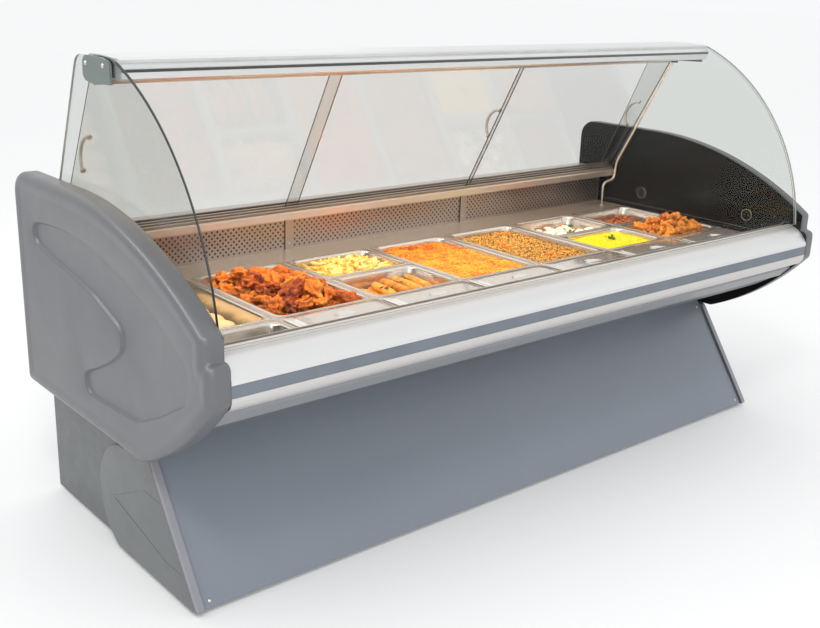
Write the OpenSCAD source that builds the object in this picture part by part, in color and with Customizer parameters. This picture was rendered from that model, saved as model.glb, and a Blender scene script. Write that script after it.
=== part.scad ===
// Hot food display case with a lift-up curved front glass, sliding rear
// doors and a well of seven columns of lift-out pans.
//
// X runs along the counter, the customer stands on the -Y side, Z is up
// and the floor is z = 0. The origin is under the middle of the case.
// Dimensions are in millimetres.

/* [Case] */
// overall length over both end panels
case_len = 2500; // [2300:10:2700]
// thickness of each moulded end panel
end_t = 55; // [45:1:65]
// height of the deck that the pans hang in
deck_z = 682; // [660:1:700]
// height of the top edge of the end panels
end_top = 1005; // [1000:1:1010]

/* [Glass] */
// outer radius of the arc of the end glass
arc_r = 700; // [695:1:702]
// thickness of the end glass
end_glass_t = 6; // [5:0.5:6]
// thickness of the curved front glass
front_glass_t = 6; // [5:0.5:8]
// thickness of a sliding rear door
door_t = 5; // [4:0.5:6]
// lean of the rear doors from the vertical, in degrees
door_lean = 28.6; // [28.4:0.1:28.8]

/* [Pans] */
// width of a pan over its rim
pan_w = 325; // [300:1:328]
// length of a full rear pan over its rim
pan_len = 480; // [470:1:482]
// length of a front pan over its rim
front_pan_len = 176; // [170:1:177]
// depth of a pan below its rim
pan_depth = 95; // [40:5:110]
// thickness of the pan sheet
pan_t = 1.2; // [0.8:0.1:2]

/* [Pedestal] */
// radius of the round rear edge of a moulded side cover
cover_r = 170; // [165:1:172]
// side of the square tubes of the base frame
tube_w = 40; // [30:1:45]

/* [Hidden] */
inner = case_len / 2 - end_t;      // inner face of an end panel
reach = inner - 12;                // half length of the parts between the end glasses
half_y = 548;                      // half of the overall depth
columns = 7;
pitch = 2 * reach / columns;       // spacing of the pan columns
rear_y = 283;                      // rear edge of the pans
rear_pan_y = rear_y - pan_len;     // front edge of the rear pans
front_pan_y = -207;                // rear edge of the front pans
half_len = (pan_len - 6) / 2;      // length of a half pan
rim = 12;                          // width of a pan rim
end_in = 365;                      // lower edge of the end panels
shelf_z = 824;                     // top of the rear work shelf
arc_y = 205;                       // centre of the glass arc
arc_z = 683.5;
door_y = 363;                      // foot of the middle door
door_z = 836;
door_h = 524;                      // door height along its own plane
rail_pivot = [-12.5, 1350];        // hinge line of the front glass
body_floor = 498;                  // underside of the insulated body
e = 0.01;

moulding = [0.52, 0.52, 0.50];
paint = [0.46, 0.49, 0.54];
steel = [0.74, 0.72, 0.69];
aluminium = [0.86, 0.86, 0.87];
clear = [0.80, 0.88, 0.85, 0.35];
black = [0.10, 0.09, 0.09];

// ---------------------------------------------------------------- helpers

// points of a circular arc, both ends included
function arc(c, r, a0, a1, n) =
    [for (i = [0 : n]) c + r * [cos(a0 + (a1 - a0) * i / n), sin(a0 + (a1 - a0) * i / n)]];

// middle of column i, counted from 1 at the left
function column_x(i) = (i - (columns + 1) / 2) * pitch;

// runs a Y-Z outline along X from x0 to x1
module along_x(x0, x1) {
    translate([x0, 0, 0])
        rotate([90, 0, 90])
            linear_extrude(x1 - x0)
                children();
}

// a part at the left end and its mirror image at the right end
module both_ends() {
    children();
    mirror([1, 0, 0]) children();
}

// the waste outside a rounded corner whose tip is at the origin
module corner(r) {
    difference() {
        translate([-1, -1]) square(r + 1);
        translate([r, r]) circle(r = r, $fn = 64);
    }
}

module box(x0, x1, y0, y1, z0, z1) {
    translate([x0, y0, z0]) cube([x1 - x0, y1 - y0, z1 - z0]);
}

// rectangle with round corners, its lower left corner at the origin
module round_rect(w, l, r) {
    translate([r, 0]) square([w - 2 * r, l]);
    translate([0, r]) square([w, l - 2 * r]);
    for (x = [r, w - r], y = [r, l - r])
        translate([x, y]) circle(r = r, $fn = 48);
}

module dome_screw(r, h) {
    intersection() {
        translate([0, 0, h - r * 1.3]) sphere(r = r * 1.3, $fn = 32);
        cylinder(r = r, h = h, $fn = 32);
    }
}

// ---------------------------------------------------------------- end panels

// side view of an end panel, drawn in by the amount inset
module end_outline(inset) {
    low = end_in + inset;
    high = end_top - inset;
    difference() {
        union() {
            intersection() {
                translate([182, high - 1245]) circle(r = 1245, $fn = 720);
                translate([190, 1251]) circle(r = 961 - inset, $fn = 720);
                translate([-half_y + inset, low]) square([half_y + 182 - inset, 700]);
            }
            translate([181, low]) square([half_y - 181 - inset, high - low]);
        }
        translate([-600, 732 - inset]) square([79 + inset, 200]);
        translate([-half_y + inset, 732 - inset]) mirror([0, 1]) corner(18);
        translate([half_y - inset, high]) mirror([1, 0]) mirror([0, 1]) corner(62 - inset);
        translate([half_y - inset, low]) mirror([1, 0]) corner(22);
    }
}

// swoosh-shaped relief in the outer face
module swoosh() {
    polygon(concat(
        arc([217, -371], 1266, 82, 119, 20),
        arc([-372, 658], 81, 110, 258, 14),
        arc([197, 1500], 1092, 237.6, 250, 8),
        arc([95, 497], 40, -90, 45, 6),
        [[50, 556], [-16, 588], [-62, 615]],
        arc([-66, 668], 42, 222, 98, 8),
        [[53, 751], [174, 773], [304, 791]],
        arc([392, 847], 38, -60, 75, 6)
    ));
}

module end_panel() {
    depth = [for (i = [0 : 8]) 24 * sin(i * 11.25)];
    difference() {
        union() {
            along_x(-inner - end_t + 24, -inner) end_outline(0);
            for (i = [0 : 7])
                along_x(-inner - end_t + 24 - depth[i + 1], -inner - end_t + 24 - depth[i] + e)
                    end_outline(24 * (1 - cos((i + 0.5) * 11.25)));
        }
        along_x(-inner - end_t - 1, -inner - end_t + 8) swoosh();
    }
}

module end_panel_left() {
    color(moulding) end_panel();
}

module end_panel_right() {
    color(moulding) mirror([1, 0, 0]) end_panel();
}

module end_liners() {
    color(black)
        both_ends()
            along_x(-inner, -inner + 3) end_outline(2);
}

// ---------------------------------------------------------------- glass

module end_glass() {
    rear = concat(
        [[-520, 753], [-449, 753], [-449, deck_z + 18], [483, deck_z + 18]],
        arc([163.6, 1305], 45, 24, 90, 8),
        [[-520, 1350]]
    );
    difference() {
        along_x(-inner + 4, -inner + 4 + end_glass_t)
            intersection() {
                translate([arc_y, arc_z]) circle(r = arc_r, $fn = 720);
                polygon(rear);
            }
        for (y = [18, 116])
            translate([-inner, y, 1332]) rotate([0, 90, 0]) cylinder(r = 4, h = 20, $fn = 32);
    }
}

module end_glass_left() {
    color(clear) end_glass();
}

module end_glass_right() {
    color(clear) mirror([1, 0, 0]) end_glass();
}

// clear discs that hold the end glass to the end panels
module glass_discs() {
    color(clear)
        both_ends()
            for (y = [-298, 195])
                translate([-inner + 4 + end_glass_t, y, 750])
                    rotate([0, 90, 0]) difference() {
                        cylinder(r = 22, h = 2, $fn = 48);
                        for (d = [-8, 8])
                            translate([0, d, -1]) cylinder(r = 2, h = 4, $fn = 24);
                    }
}

module front_glass() {
    r0 = 702.5;
    color(clear)
        along_x(-inner + 5, inner - 5)
            intersection() {
                translate([arc_y, arc_z]) difference() {
                    circle(r = r0 + front_glass_t, $fn = 720);
                    circle(r = r0, $fn = 720);
                }
                translate([-560, 752]) square([521.6, 620]);
            }
}

// aluminium profile on the top edge of the front glass; it hangs on the rail
module glass_hinge() {
    color(aluminium)
        along_x(-reach + 1, reach - 1)
            difference() {
                polygon(concat(
                    [[-13, 1300], [-13, 1351.5], [-15, 1353], [-30, 1353], [-38.1, 1350]],
                    arc([arc_y, arc_z], 702.3, 110.24, 111.3, 2),
                    [[-51, 1330], [-50, 1327.5], [-48, 1327.5], [-48, 1320.5], [-50, 1320.5],
                     [-48, 1305], [-42, 1300]]
                ));
                translate(rail_pivot) circle(r = 2.5, $fn = 48);
            }
}

// rubber line in the front face of the hinge profile
module rail_gasket() {
    color(black) box(-reach + 1, reach - 1, -51.5, -48.1, 1320.8, 1327.2);
}

// ---------------------------------------------------------------- top rail

// outside of the rail, with the bead that the front glass swings on
module rail_outline() {
    polygon(concat(
        [[-10, 1304], [-10, 1353], [60, 1356]],
        arc([118, 1338], 17, 90, 10, 6),
        [[133.3, 1316], [89.3, 1292], [85, 1304]]
    ));
    translate([-12.5, 1349]) square([3, 2]);
    translate(rail_pivot) circle(r = 2.2, $fn = 48);
}

module top_rail() {
    color(aluminium)
        difference() {
            along_x(-reach, reach)
                difference() {
                    rail_outline();
                    polygon([[-7, 1307], [-7, 1350], [60, 1353], [120, 1350],
                             [131, 1340], [129, 1318], [91, 1297], [88, 1307]]);
                }
            for (side = [-1, 1], y = [18, 116])
                translate([side * reach, y, 1332]) rotate([0, 90, 0])
                    cylinder(r = 3.1, h = 60, center = true, $fn = 32);
        }
}

// plates outside the end glass that carry the rail
module rail_end_plates() {
    color(moulding)
        both_ends()
            difference() {
                along_x(-inner - 3, -inner + 4)
                    difference() {
                        polygon(concat(
                            [[-18, 1289], [92, 1285]],
                            arc([113, 1312], 24, -70, 0, 6),
                            arc([112, 1328], 24, 0, 90, 8),
                            [[30, 1352], [8, 1348]],
                            arc([0, 1330], 18, 70, 170, 8)
                        ));
                    }
                for (y = [18, 116])
                    translate([-inner - 5, y, 1332]) rotate([0, 90, 0])
                        cylinder(r = 3.2, h = 12, $fn = 32);
            }
}

module lamp_reflector() {
    color(steel)
        along_x(-reach + 40, reach - 60)
            polygon([[0, 1303.8], [84, 1303.8], [84, 1296], [82, 1295], [82, 1301.8],
                     [2, 1301.8], [2, 1295], [0, 1296]]);
}

module heat_lamps() {
    span = (2 * reach - 160) / 3;
    for (i = [0 : 2])
        translate([-reach + 60 + i * (span + 10), 42, 1296.5]) {
            color([1, 0.85, 0.6]) translate([14, 0, 0]) rotate([0, 90, 0])
                cylinder(r = 5, h = span - 48, $fn = 32);
            color([0.9, 0.9, 0.86])
                for (x = [0, span - 34])
                    translate([x, -7, -4]) cube([14, 14, 9.2]);
        }
}

// thin tube that takes the lamp wires up to the rail, with its clip
module wiring_tube() {
    path = [[1108, 335, deck_z], [1108, 335, 768], [1114, 334, 777], [1164, 333, 786],
            [1171, 333, 798], [1171, 327, 858], [1171, 114, 1251], [1171, 103, 1270],
            [1171, 92, 1284]];
    color(steel) {
        for (i = [0 : len(path) - 2]) {
            d = path[i + 1] - path[i];
            translate(path[i])
                rotate([0, acos(d[2] / norm(d)), atan2(d[1], d[0])])
                    cylinder(r = 4.5, h = norm(d), $fn = 32);
            if (i > 0)
                translate(path[i]) sphere(r = 4.9, $fn = 32);
        }
        translate([1108, 335, deck_z]) cylinder(r = 9, h = 3, $fn = 32);
    }
    color(black) box(1160, 1182, 80, 98, 1279, 1291.8);
}

// ---------------------------------------------------------------- rear doors

// moves a part into the plane of the leaning doors
module door_plane(x) {
    translate([x, door_y, door_z]) rotate([door_lean, 0, 0]) children();
}

module door_pane(x0, x1, track) {
    door_plane(0)
        translate([x0, track - door_t / 2, -5]) cube([x1 - x0, door_t, door_h + 0.5]);
}

// bow handle on the staff side of a door
module door_handle(x, track) {
    bow = 63.3;
    door_plane(x)
        translate([0, track + door_t / 2 + 3, 265]) {
            translate([0, -31.3, 0])
                rotate([0, -90, 0]) rotate([0, 0, 30])
                    rotate_extrude(angle = 120, $fn = 96)
                        translate([bow, 0]) circle(r = 5, $fn = 32);
            for (z = [-55, 55])
                translate([0, 0.9, z]) rotate([90, 0, 0]) cylinder(r = 8, h = 3.8, $fn = 32);
        }
}

module door_left() {
    color(clear) door_pane(-reach + 3, -380, 20);
}

module door_middle() {
    color(clear) door_pane(-438, 384, 8);
}

module door_right() {
    color(clear) door_pane(352, reach - 3, -4);
}

module handle_left() {
    color(steel) door_handle(-reach + 34, 20);
}

module handle_middle() {
    color(steel) door_handle(368, 8);
}

module handle_right() {
    color(steel) door_handle(reach - 48, -4);
}

// bottom and top channels, each with three grooves
module door_tracks() {
    color(aluminium) {
        difference() {
            door_plane(0) translate([-reach, -12, -14]) cube([2 * reach, 40, 16]);
            door_plane(0)
                for (track = [-4, 8, 20])
                    translate([-reach - 1, track - 4, -6]) cube([2 * reach + 2, 8, 20]);
            box(-reach - 1, reach + 1, 300, 460, 800, shelf_z);
        }
        difference() {
            door_plane(0) translate([-reach, -12, door_h - 14]) cube([2 * reach, 40, 21.3]);
            door_plane(0)
                for (track = [-4, 8, 20])
                    translate([-reach - 1, track - 4, door_h - 18]) cube([2 * reach + 2, 8, 14.5]);
        }
    }
}

// ---------------------------------------------------------------- deck and well

module deck_frame() {
    color(steel) {
        difference() {
            box(-reach, reach, -449, 418, deck_z - 3, deck_z);
            box(-reach + 13, reach - 13, -377, 277, deck_z - 4, deck_z + 1);
            translate([1108, 335, deck_z - 4]) cylinder(r = 3, h = 5, $fn = 32);
        }
        along_x(-reach, reach)
            polygon([[-449, deck_z], [-447, deck_z], [-447, 745], [-449, 745]]);
    }
}

module divider_bars() {
    color(steel) {
        for (i = [1 : columns - 1])
            difference() {
                box(column_x(i) + pitch / 2 - 11, column_x(i) + pitch / 2 + 11, -377, 277,
                    deck_z - 16, deck_z);
                for (y = [-350 : 48 : 270])
                    translate([column_x(i) + pitch / 2, y, deck_z - 3])
                        cylinder(r = 2, h = 4, $fn = 16);
            }
        for (i = [1 : columns])
            box(column_x(i) - pitch / 2 + (i == 1 ? 13 : 11),
                column_x(i) + pitch / 2 - (i == columns ? 13 : 11),
                -213, -191, deck_z - 12, deck_z);
        for (i = [3, 6, 7])
            box(column_x(i) - pitch / 2 + 11,
                column_x(i) + pitch / 2 - (i == columns ? 13 : 11),
                rear_pan_y + half_len - 7, rear_pan_y + half_len + 13, deck_z - 12, deck_z);
    }
}

// perforated wall behind the pans: three panels between plain posts
module back_wall() {
    third = 2 * reach / 3;
    color(steel) {
        for (i = [0 : 2])
            translate([-reach + i * third, 420, 0])
                rotate([90, 0, 0])
                    linear_extrude(1.5)
                        difference() {
                            translate([1, deck_z]) square([third - 2, 792 - deck_z]);
                            for (row = [0 : 8], k = [0 : 37])
                                translate([26 + k * 19.8 + (row % 2) * 9.9, 693 + row * 10])
                                    circle(r = 3.4, $fn = 16);
                        }
        for (x = [-third / 2, third / 2])
            box(x - 14, x + 14, 414, 418.4, deck_z, 796);
        box(-reach, reach, 414, 417, 792, shelf_z - 6);
    }
}

module work_shelf() {
    color(steel)
        along_x(-reach, reach)
            polygon([[345, 800], [347, 800], [347, shelf_z - 6], [538, shelf_z - 6], [538, 800],
                     [540, 800], [540, shelf_z - 4], [536, shelf_z], [349, shelf_z], [345, shelf_z - 4]]);
}

// sheet tub round the heaters; its front follows the slope of the body
module well_tub() {
    color(steel)
        difference() {
            along_x(-reach + 6, reach - 6)
                polygon([[-430, deck_z - 3], [-430, 575], [-349, 514], [412, 514], [412, deck_z - 3]]);
            along_x(-reach + 8, reach - 8)
                polygon([[-428, deck_z], [-428, 576], [-348.4, 516], [410, 516], [410, deck_z]]);
        }
}

// tubular heaters under the pans: three zones of bent rod
module heating_elements() {
    third = (2 * reach - 60) / 3;
    color([0.35, 0.3, 0.28])
        for (i = [0 : 2])
            translate([-reach + 30 + i * third, 0, 544]) {
                for (y = [-300 : 120 : 180])
                    translate([50, y, 0]) rotate([0, 90, 0])
                        cylinder(r = 4, h = third - 100, $fn = 24);
                for (y = [-240, 0])
                    translate([third - 50, y, 0]) rotate([0, 0, -90])
                        rotate_extrude(angle = 180, $fn = 64)
                            translate([60, 0]) circle(r = 4, $fn = 24);
                for (y = [-120, 120])
                    translate([50, y, 0]) rotate([0, 0, 90])
                        rotate_extrude(angle = 180, $fn = 64)
                            translate([60, 0]) circle(r = 4, $fn = 24);
                for (x = [third / 4, 3 * third / 4])
                    box(x - 4, x + 4, -310, 190, -28, -3.6);
            }
}

// insulated trough between the end panels, with a pocket behind the controls
module lower_body() {
    color(paint)
        difference() {
            along_x(-inner + 3, inner - 3)
                polygon([[-470, 560], [-374, body_floor], [520, body_floor], [520, shelf_z - 6],
                         [500, shelf_z - 6], [500, body_floor + 12], [-355, body_floor + 12],
                         [-450, 572], [-450, 735], [-470, 735]]);
            box(575, 885, 508, 521, 655, 755);
        }
}

// ---------------------------------------------------------------- pans

module pan(i, y0, len) {
    color(steel)
        translate([column_x(i) - pan_w / 2, y0, 0])
            difference() {
                union() {
                    translate([0, 0, deck_z + 0.3]) linear_extrude(pan_t) round_rect(pan_w, len, 16);
                    translate([rim, rim, deck_z - pan_depth])
                        linear_extrude(pan_depth + 0.6)
                            round_rect(pan_w - 2 * rim, len - 2 * rim, 34);
                }
                translate([rim + pan_t, rim + pan_t, deck_z - pan_depth + pan_t])
                    linear_extrude(pan_depth + 5)
                        round_rect(pan_w - 2 * (rim + pan_t), len - 2 * (rim + pan_t), 34 - pan_t);
            }
}

module front_pans() {
    for (i = [1 : columns])
        pan(i, front_pan_y - front_pan_len, front_pan_len);
}

// flat lid with a raised field and a bridge over a hollow for the fingers
module front_lid(i) {
    z = deck_z + 0.3 + pan_t + 0.3;
    y = front_pan_y - front_pan_len / 2;
    color(steel)
        translate([column_x(i), y, z]) {
            difference() {
                union() {
                    translate([-pan_w / 2, -front_pan_len / 2, 0])
                        linear_extrude(1.2) round_rect(pan_w, front_pan_len, 16);
                    translate([-pan_w / 2 + 22, -front_pan_len / 2 + 20, 1.1])
                        linear_extrude(3.1) round_rect(pan_w - 44, front_pan_len - 40, 26);
                    translate([0, 0, -7]) cylinder(r = 42, h = 9, $fn = 64);
                }
                translate([0, 0, -5.8]) cylinder(r = 40.8, h = 12, $fn = 64);
                translate([-pan_w / 2 + 24, -front_pan_len / 2 + 22, -0.1])
                    linear_extrude(3) difference() {
                        round_rect(pan_w - 48, front_pan_len - 44, 24);
                        translate([pan_w / 2 - 24, front_pan_len / 2 - 22]) circle(r = 42, $fn = 64);
                    }
                translate([pan_w / 2 - 10, front_pan_len / 2 - 30, -1]) cube([12, 16, 4]);
            }
            translate([-41.5, -8, 2.2]) cube([83, 16, 2]);
        }
}

module pan_1() {
    pan(1, rear_pan_y, pan_len);
}

module pan_2() {
    pan(2, rear_pan_y, pan_len);
}

module pan_3_rear() {
    pan(3, rear_y - half_len, half_len);
}

module pan_3_front() {
    pan(3, rear_pan_y, half_len);
}

module pan_4() {
    pan(4, rear_pan_y, pan_len);
}

module pan_5() {
    pan(5, rear_pan_y, pan_len);
}

module pan_6_rear() {
    pan(6, rear_y - half_len, half_len);
}

module pan_6_front() {
    pan(6, rear_pan_y, half_len);
}

module pan_7_rear() {
    pan(7, rear_y - half_len, half_len);
}

module pan_7_front() {
    pan(7, rear_pan_y, half_len);
}

module lid_2() {
    front_lid(2);
}

module lid_3() {
    front_lid(3);
}

module lid_4() {
    front_lid(4);
}

module lid_5() {
    front_lid(5);
}

module lid_6() {
    front_lid(6);
}

module lid_7() {
    front_lid(7);
}

// ---------------------------------------------------------------- front bumper

// upper extrusion, hollow, with the glass seat grooves near its crown
module bumper_upper() {
    color(aluminium)
        along_x(-inner + 3.2, inner - 3.2)
            difference() {
                intersection() {
                    translate([-456, 647]) circle(r = 101.5, $fn = 360);
                    translate([-547.9, 680]) square([77.7, 90]);
                }
                intersection() {
                    translate([-456, 647]) circle(r = 98.5, $fn = 360);
                    translate([-544.9, 683]) square([71.7, 90]);
                }
                for (a = [104, 107, 110])
                    translate([-456, 647]) rotate(a) translate([100.3, -0.8]) square([5, 1.6]);
            }
}

module bumper_insert() {
    color([0.42, 0.46, 0.52])
        box(-inner + 3.2, inner - 3.2, -546.5, -540, 648.5, 679.8);
}

// lower extrusion with the narrow lip under it
module bumper_lower() {
    color(aluminium)
        along_x(-inner + 3.2, inner - 3.2) {
            difference() {
                polygon(concat(
                    [[-470.2, 602], [-470.2, 679.8], [-539.8, 679.8], [-539.8, 648.3], [-547.5, 648.3]],
                    arc([-507, 646], 41, 180, 262, 10)
                ));
                polygon(concat(
                    [[-473.2, 605], [-473.2, 676.8], [-536.8, 676.8], [-536.8, 645.3], [-544.5, 645.3]],
                    arc([-507, 646], 38, 182, 262, 10)
                ));
            }
            polygon([[-470.2, 604], [-500, 606], [-498, 588], [-468, 556], [-463, 551],
                     [-461.5, 552.8], [-470.2, 558.8]]);
        }
}

// ---------------------------------------------------------------- pedestal

module base_frame() {
    low = 20;
    color([0.3, 0.31, 0.32]) {
        difference() {
            union() {
                for (y = [-330, 470])
                    box(-reach + 20, reach - 20, y, y + tube_w, low, low + tube_w);
                for (x = [-reach + 20, -tube_w / 2, reach - 20 - tube_w]) {
                    box(x, x + tube_w, -330, 470 + tube_w, low, low + tube_w);
                    for (y = [-20, 470])
                        box(x, x + tube_w, y, y + tube_w, low, body_floor);
                }
            }
            for (x = [-reach + 20 + tube_w / 2, 0, reach - 20 - tube_w / 2], y = [-330, 470])
                translate([x, y + tube_w / 2, low - 1]) cylinder(r = 5.1, h = 26, $fn = 32);
        }
        box(-reach + 22, reach - 22, -288, 468, low + tube_w, low + tube_w + 2);
    }
}

module feet() {
    color(black)
        for (x = [-reach + 20 + tube_w / 2, 0, reach - 20 - tube_w / 2], y = [-330, 470])
            translate([x, y + tube_w / 2, 0]) {
                cylinder(r = 22, h = 8, $fn = 48);
                cylinder(r = 5, h = 42, $fn = 32);
                translate([0, 0, 12]) cylinder(r = 9, h = 6, $fn = 6);
            }
}

// steel side panels of the pedestal
module side_panels() {
    color(paint)
        both_ends()
            along_x(-reach - 2, -reach + 1)
                polygon([[518, 10], [518, body_floor - 0.5], [-31, body_floor - 0.5], [-366, 12], [-364, 10]]);
}

// moulded cover over the front half of a side panel
module side_cover() {
    difference() {
        along_x(-inner - 17, -reach - 2)
            difference() {
                union() {
                    translate([-10, 165]) circle(r = cover_r, $fn = 360);
                    polygon([[-10, 8], [-10, 335], [-50, 364], [-148, 364], [-388, 14], [-384, 8]]);
                }
                translate([-400, -20]) square([700, 28]);
            }
        for (p = [[-154, 296], [-350, 46]])
            translate([-inner - 18, p[0] + 24, p[1]]) rotate([0, 90, 0])
                cylinder(r = 6, h = 4, $fn = 32);
    }
}

module side_cover_left() {
    color(moulding) side_cover();
}

module side_cover_right() {
    color(moulding) mirror([1, 0, 0]) side_cover();
}

// outer face of the leaning front panel at height z
function panel_y(z) = -376 + (z - 16) * 246 / 358;

// leaning front panel with folded edges
module front_panel() {
    top = panel_y(body_floor - 1);
    color(paint)
        along_x(-reach + 2, reach - 2)
            polygon([[-376, 16], [top, body_floor - 1], [top + 22, body_floor - 1],
                     [top + 22, body_floor - 3], [top + 1, body_floor - 3], [-372, 18],
                     [-352, 18], [-352, 16]]);
}

// ---------------------------------------------------------------- small parts

module case_screws() {
    color(steel) {
        both_ends() {
            for (y = [18, 116])
                translate([-inner - 3, y, 1332]) rotate([0, -90, 0]) {
                    dome_screw(6, 3.5);
                    translate([0, 0, -22]) cylinder(r = 3, h = 22.2, $fn = 24);
                }
            for (p = [[-130, 296], [-326, 46]])
                translate([-inner - 14, p[0], p[1]]) rotate([0, -90, 0]) dome_screw(5, 2.5);
            for (z = [30, 354])
                translate([-reach + 22, panel_y(z), z])
                    rotate([55.5, 0, 0]) dome_screw(5, 2.5);
        }
        for (x = [-reach / 3, reach / 3])
            translate([x, 414, 702]) rotate([90, 0, 0]) dome_screw(4, 2);
    }
}

module control_panel() {
    color(steel)
        difference() {
            box(560, 900, 520, 523, 640, 770);
            box(601.5, 630.5, 519, 524, 684.5, 725.5);
            box(671.5, 700.5, 519, 524, 684.5, 725.5);
            translate([800, 519, 705]) rotate([-90, 0, 0]) cylinder(r = 4.05, h = 5, $fn = 32);
        }
    color([0.2, 0.7, 0.3])
        for (x = [616, 686])
            translate([x, 523, 745]) rotate([-90, 0, 0]) cylinder(r = 5, h = 3, $fn = 32);
}

// rocker that tips about its middle
module rocker(x) {
    color(black)
        along_x(x - 14, x + 14)
            polygon([[520.6, 686], [526, 686], [524.4, 705], [528, 724], [520.6, 724]]);
}

module main_switch() {
    rocker(616);
}

module lamp_switch() {
    rocker(686);
}

module heat_knob() {
    color(black)
        translate([800, 523.6, 705]) rotate([-90, 0, 0]) {
            difference() {
                cylinder(r = 20, h = 16, $fn = 64);
                translate([-1, 8, 13]) cube([2, 14, 4]);
            }
            translate([0, 0, -9]) cylinder(r = 4, h = 9.5, $fn = 32);
        }
}

module cable_gland() {
    color(black)
        translate([-1000, 520, 540]) rotate([-90, 0, 0])
            difference() {
                union() {
                    cylinder(r = 14, h = 8, $fn = 6);
                    cylinder(r = 10, h = 18, $fn = 48);
                }
                translate([0, 0, 2]) cylinder(r = 5, h = 20, $fn = 32);
            }
}

base_frame();
feet();
side_panels();
side_cover_left();
side_cover_right();
front_panel();
lower_body();
well_tub();
heating_elements();
deck_frame();
divider_bars();
back_wall();
work_shelf();
door_tracks();
end_panel_left();
end_panel_right();
end_liners();
end_glass_left();
end_glass_right();
glass_discs();
top_rail();
rail_end_plates();
rail_gasket();
glass_hinge();
front_glass();
lamp_reflector();
heat_lamps();
wiring_tube();
bumper_upper();
bumper_insert();
bumper_lower();
case_screws();
door_left();
door_middle();
door_right();
handle_left();
handle_middle();
handle_right();
control_panel();
main_switch();
lamp_switch();
heat_knob();
cable_gland();
front_pans();
pan_1();
pan_2();
pan_3_rear();
pan_3_front();
pan_4();
pan_5();
pan_6_rear();
pan_6_front();
pan_7_rear();
pan_7_front();
lid_2();
lid_3();
lid_4();
lid_5();
lid_6();
lid_7();
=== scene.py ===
"""Looks of the hot food display case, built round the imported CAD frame. Metres throughout."""
import random
from math import acos, asin, cos, degrees, dist, exp, hypot, pi, radians, sin, sqrt

import bmesh
import bpy
from mathutils import Matrix, Vector, noise


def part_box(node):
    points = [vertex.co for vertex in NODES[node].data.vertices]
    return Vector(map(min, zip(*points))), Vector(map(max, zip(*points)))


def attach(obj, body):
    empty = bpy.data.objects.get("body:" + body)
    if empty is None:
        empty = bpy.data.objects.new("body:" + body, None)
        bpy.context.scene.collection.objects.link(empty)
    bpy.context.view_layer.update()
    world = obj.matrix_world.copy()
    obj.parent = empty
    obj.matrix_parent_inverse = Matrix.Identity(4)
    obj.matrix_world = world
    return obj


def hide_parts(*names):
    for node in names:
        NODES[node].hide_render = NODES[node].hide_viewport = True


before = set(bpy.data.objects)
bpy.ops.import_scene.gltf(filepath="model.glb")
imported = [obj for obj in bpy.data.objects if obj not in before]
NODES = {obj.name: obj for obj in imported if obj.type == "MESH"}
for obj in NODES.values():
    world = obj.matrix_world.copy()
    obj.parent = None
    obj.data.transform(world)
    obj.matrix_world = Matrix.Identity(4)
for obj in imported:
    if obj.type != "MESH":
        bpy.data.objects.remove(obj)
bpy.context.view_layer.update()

# ------------------------------------------------------------------ materials


class Nodes:
    """A material being built: short calls that add a node and return its output."""

    def __init__(self, name):
        self.mat = bpy.data.materials.new(name)
        self.mat.use_nodes = True
        self.tree = self.mat.node_tree
        self.tree.nodes.clear()
        self.out = self.tree.nodes.new("ShaderNodeOutputMaterial")
        coords = self.tree.nodes.new("ShaderNodeTexCoord")
        self.place = coords.outputs["Object"]

    def add(self, kind, **values):
        node = self.tree.nodes.new(kind)
        for key, value in values.items():
            if hasattr(node, key):
                setattr(node, key, value)
            else:
                self.plug(node.inputs[key], value)
        return node

    def plug(self, socket, value):
        if isinstance(value, bpy.types.NodeSocket):
            self.tree.links.new(value, socket)
        else:
            socket.default_value = value

    def stretched(self, scale):
        node = self.add("ShaderNodeMapping")
        self.plug(node.inputs["Vector"], self.place)
        node.inputs["Scale"].default_value = scale
        return node.outputs[0]

    def noise(self, scale, detail=3.0, vector=None, rough=0.55):
        node = self.add("ShaderNodeTexNoise", Scale=scale, Detail=detail, Roughness=rough)
        self.plug(node.inputs["Vector"], vector or self.place)
        return node.outputs[0]

    def attribute(self, name):
        return self.add("ShaderNodeAttribute", attribute_name=name).outputs["Fac"]

    def ramp(self, fac, stops):
        node = self.add("ShaderNodeValToRGB")
        self.plug(node.inputs[0], fac)
        elements = node.color_ramp.elements
        while len(elements) < len(stops):
            elements.new(0.5)
        for element, (at, colour) in zip(elements, stops):
            element.position = at
            element.color = (*colour, 1)
        return node.outputs[0]

    def span(self, fac, low, high, from_low=0.0, from_high=1.0):
        node = self.add("ShaderNodeMapRange")
        for socket, value in zip(range(5), (fac, from_low, from_high, low, high)):
            self.plug(node.inputs[socket], value)
        return node.outputs[0]

    def mix(self, fac, a, b):
        node = self.add("ShaderNodeMix", data_type="RGBA")
        for socket, value in ((0, fac), (6, a), (7, b)):
            self.plug(node.inputs[socket], value)
        return node.outputs[2]

    def math(self, how, a, b):
        node = self.add("ShaderNodeMath", operation=how)
        self.plug(node.inputs[0], a)
        self.plug(node.inputs[1], b)
        return node.outputs[0]

    def bump(self, height, distance, strength):
        node = self.add("ShaderNodeBump", Strength=strength, Distance=distance)
        self.plug(node.inputs["Height"], height)
        return node.outputs[0]

    def surface(self, colour, rough, metal=0.0, normal=None, **more):
        node = self.add("ShaderNodeBsdfPrincipled")
        self.plug(node.inputs["Base Color"], colour)
        self.plug(node.inputs["Roughness"], rough)
        self.plug(node.inputs["Metallic"], metal)
        if normal is not None:
            self.plug(node.inputs["Normal"], normal)
        for key, value in more.items():
            self.plug(node.inputs[key.replace("_", " ")], value)
        self.tree.links.new(node.outputs[0], self.out.inputs[0])
        return self.mat


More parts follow.
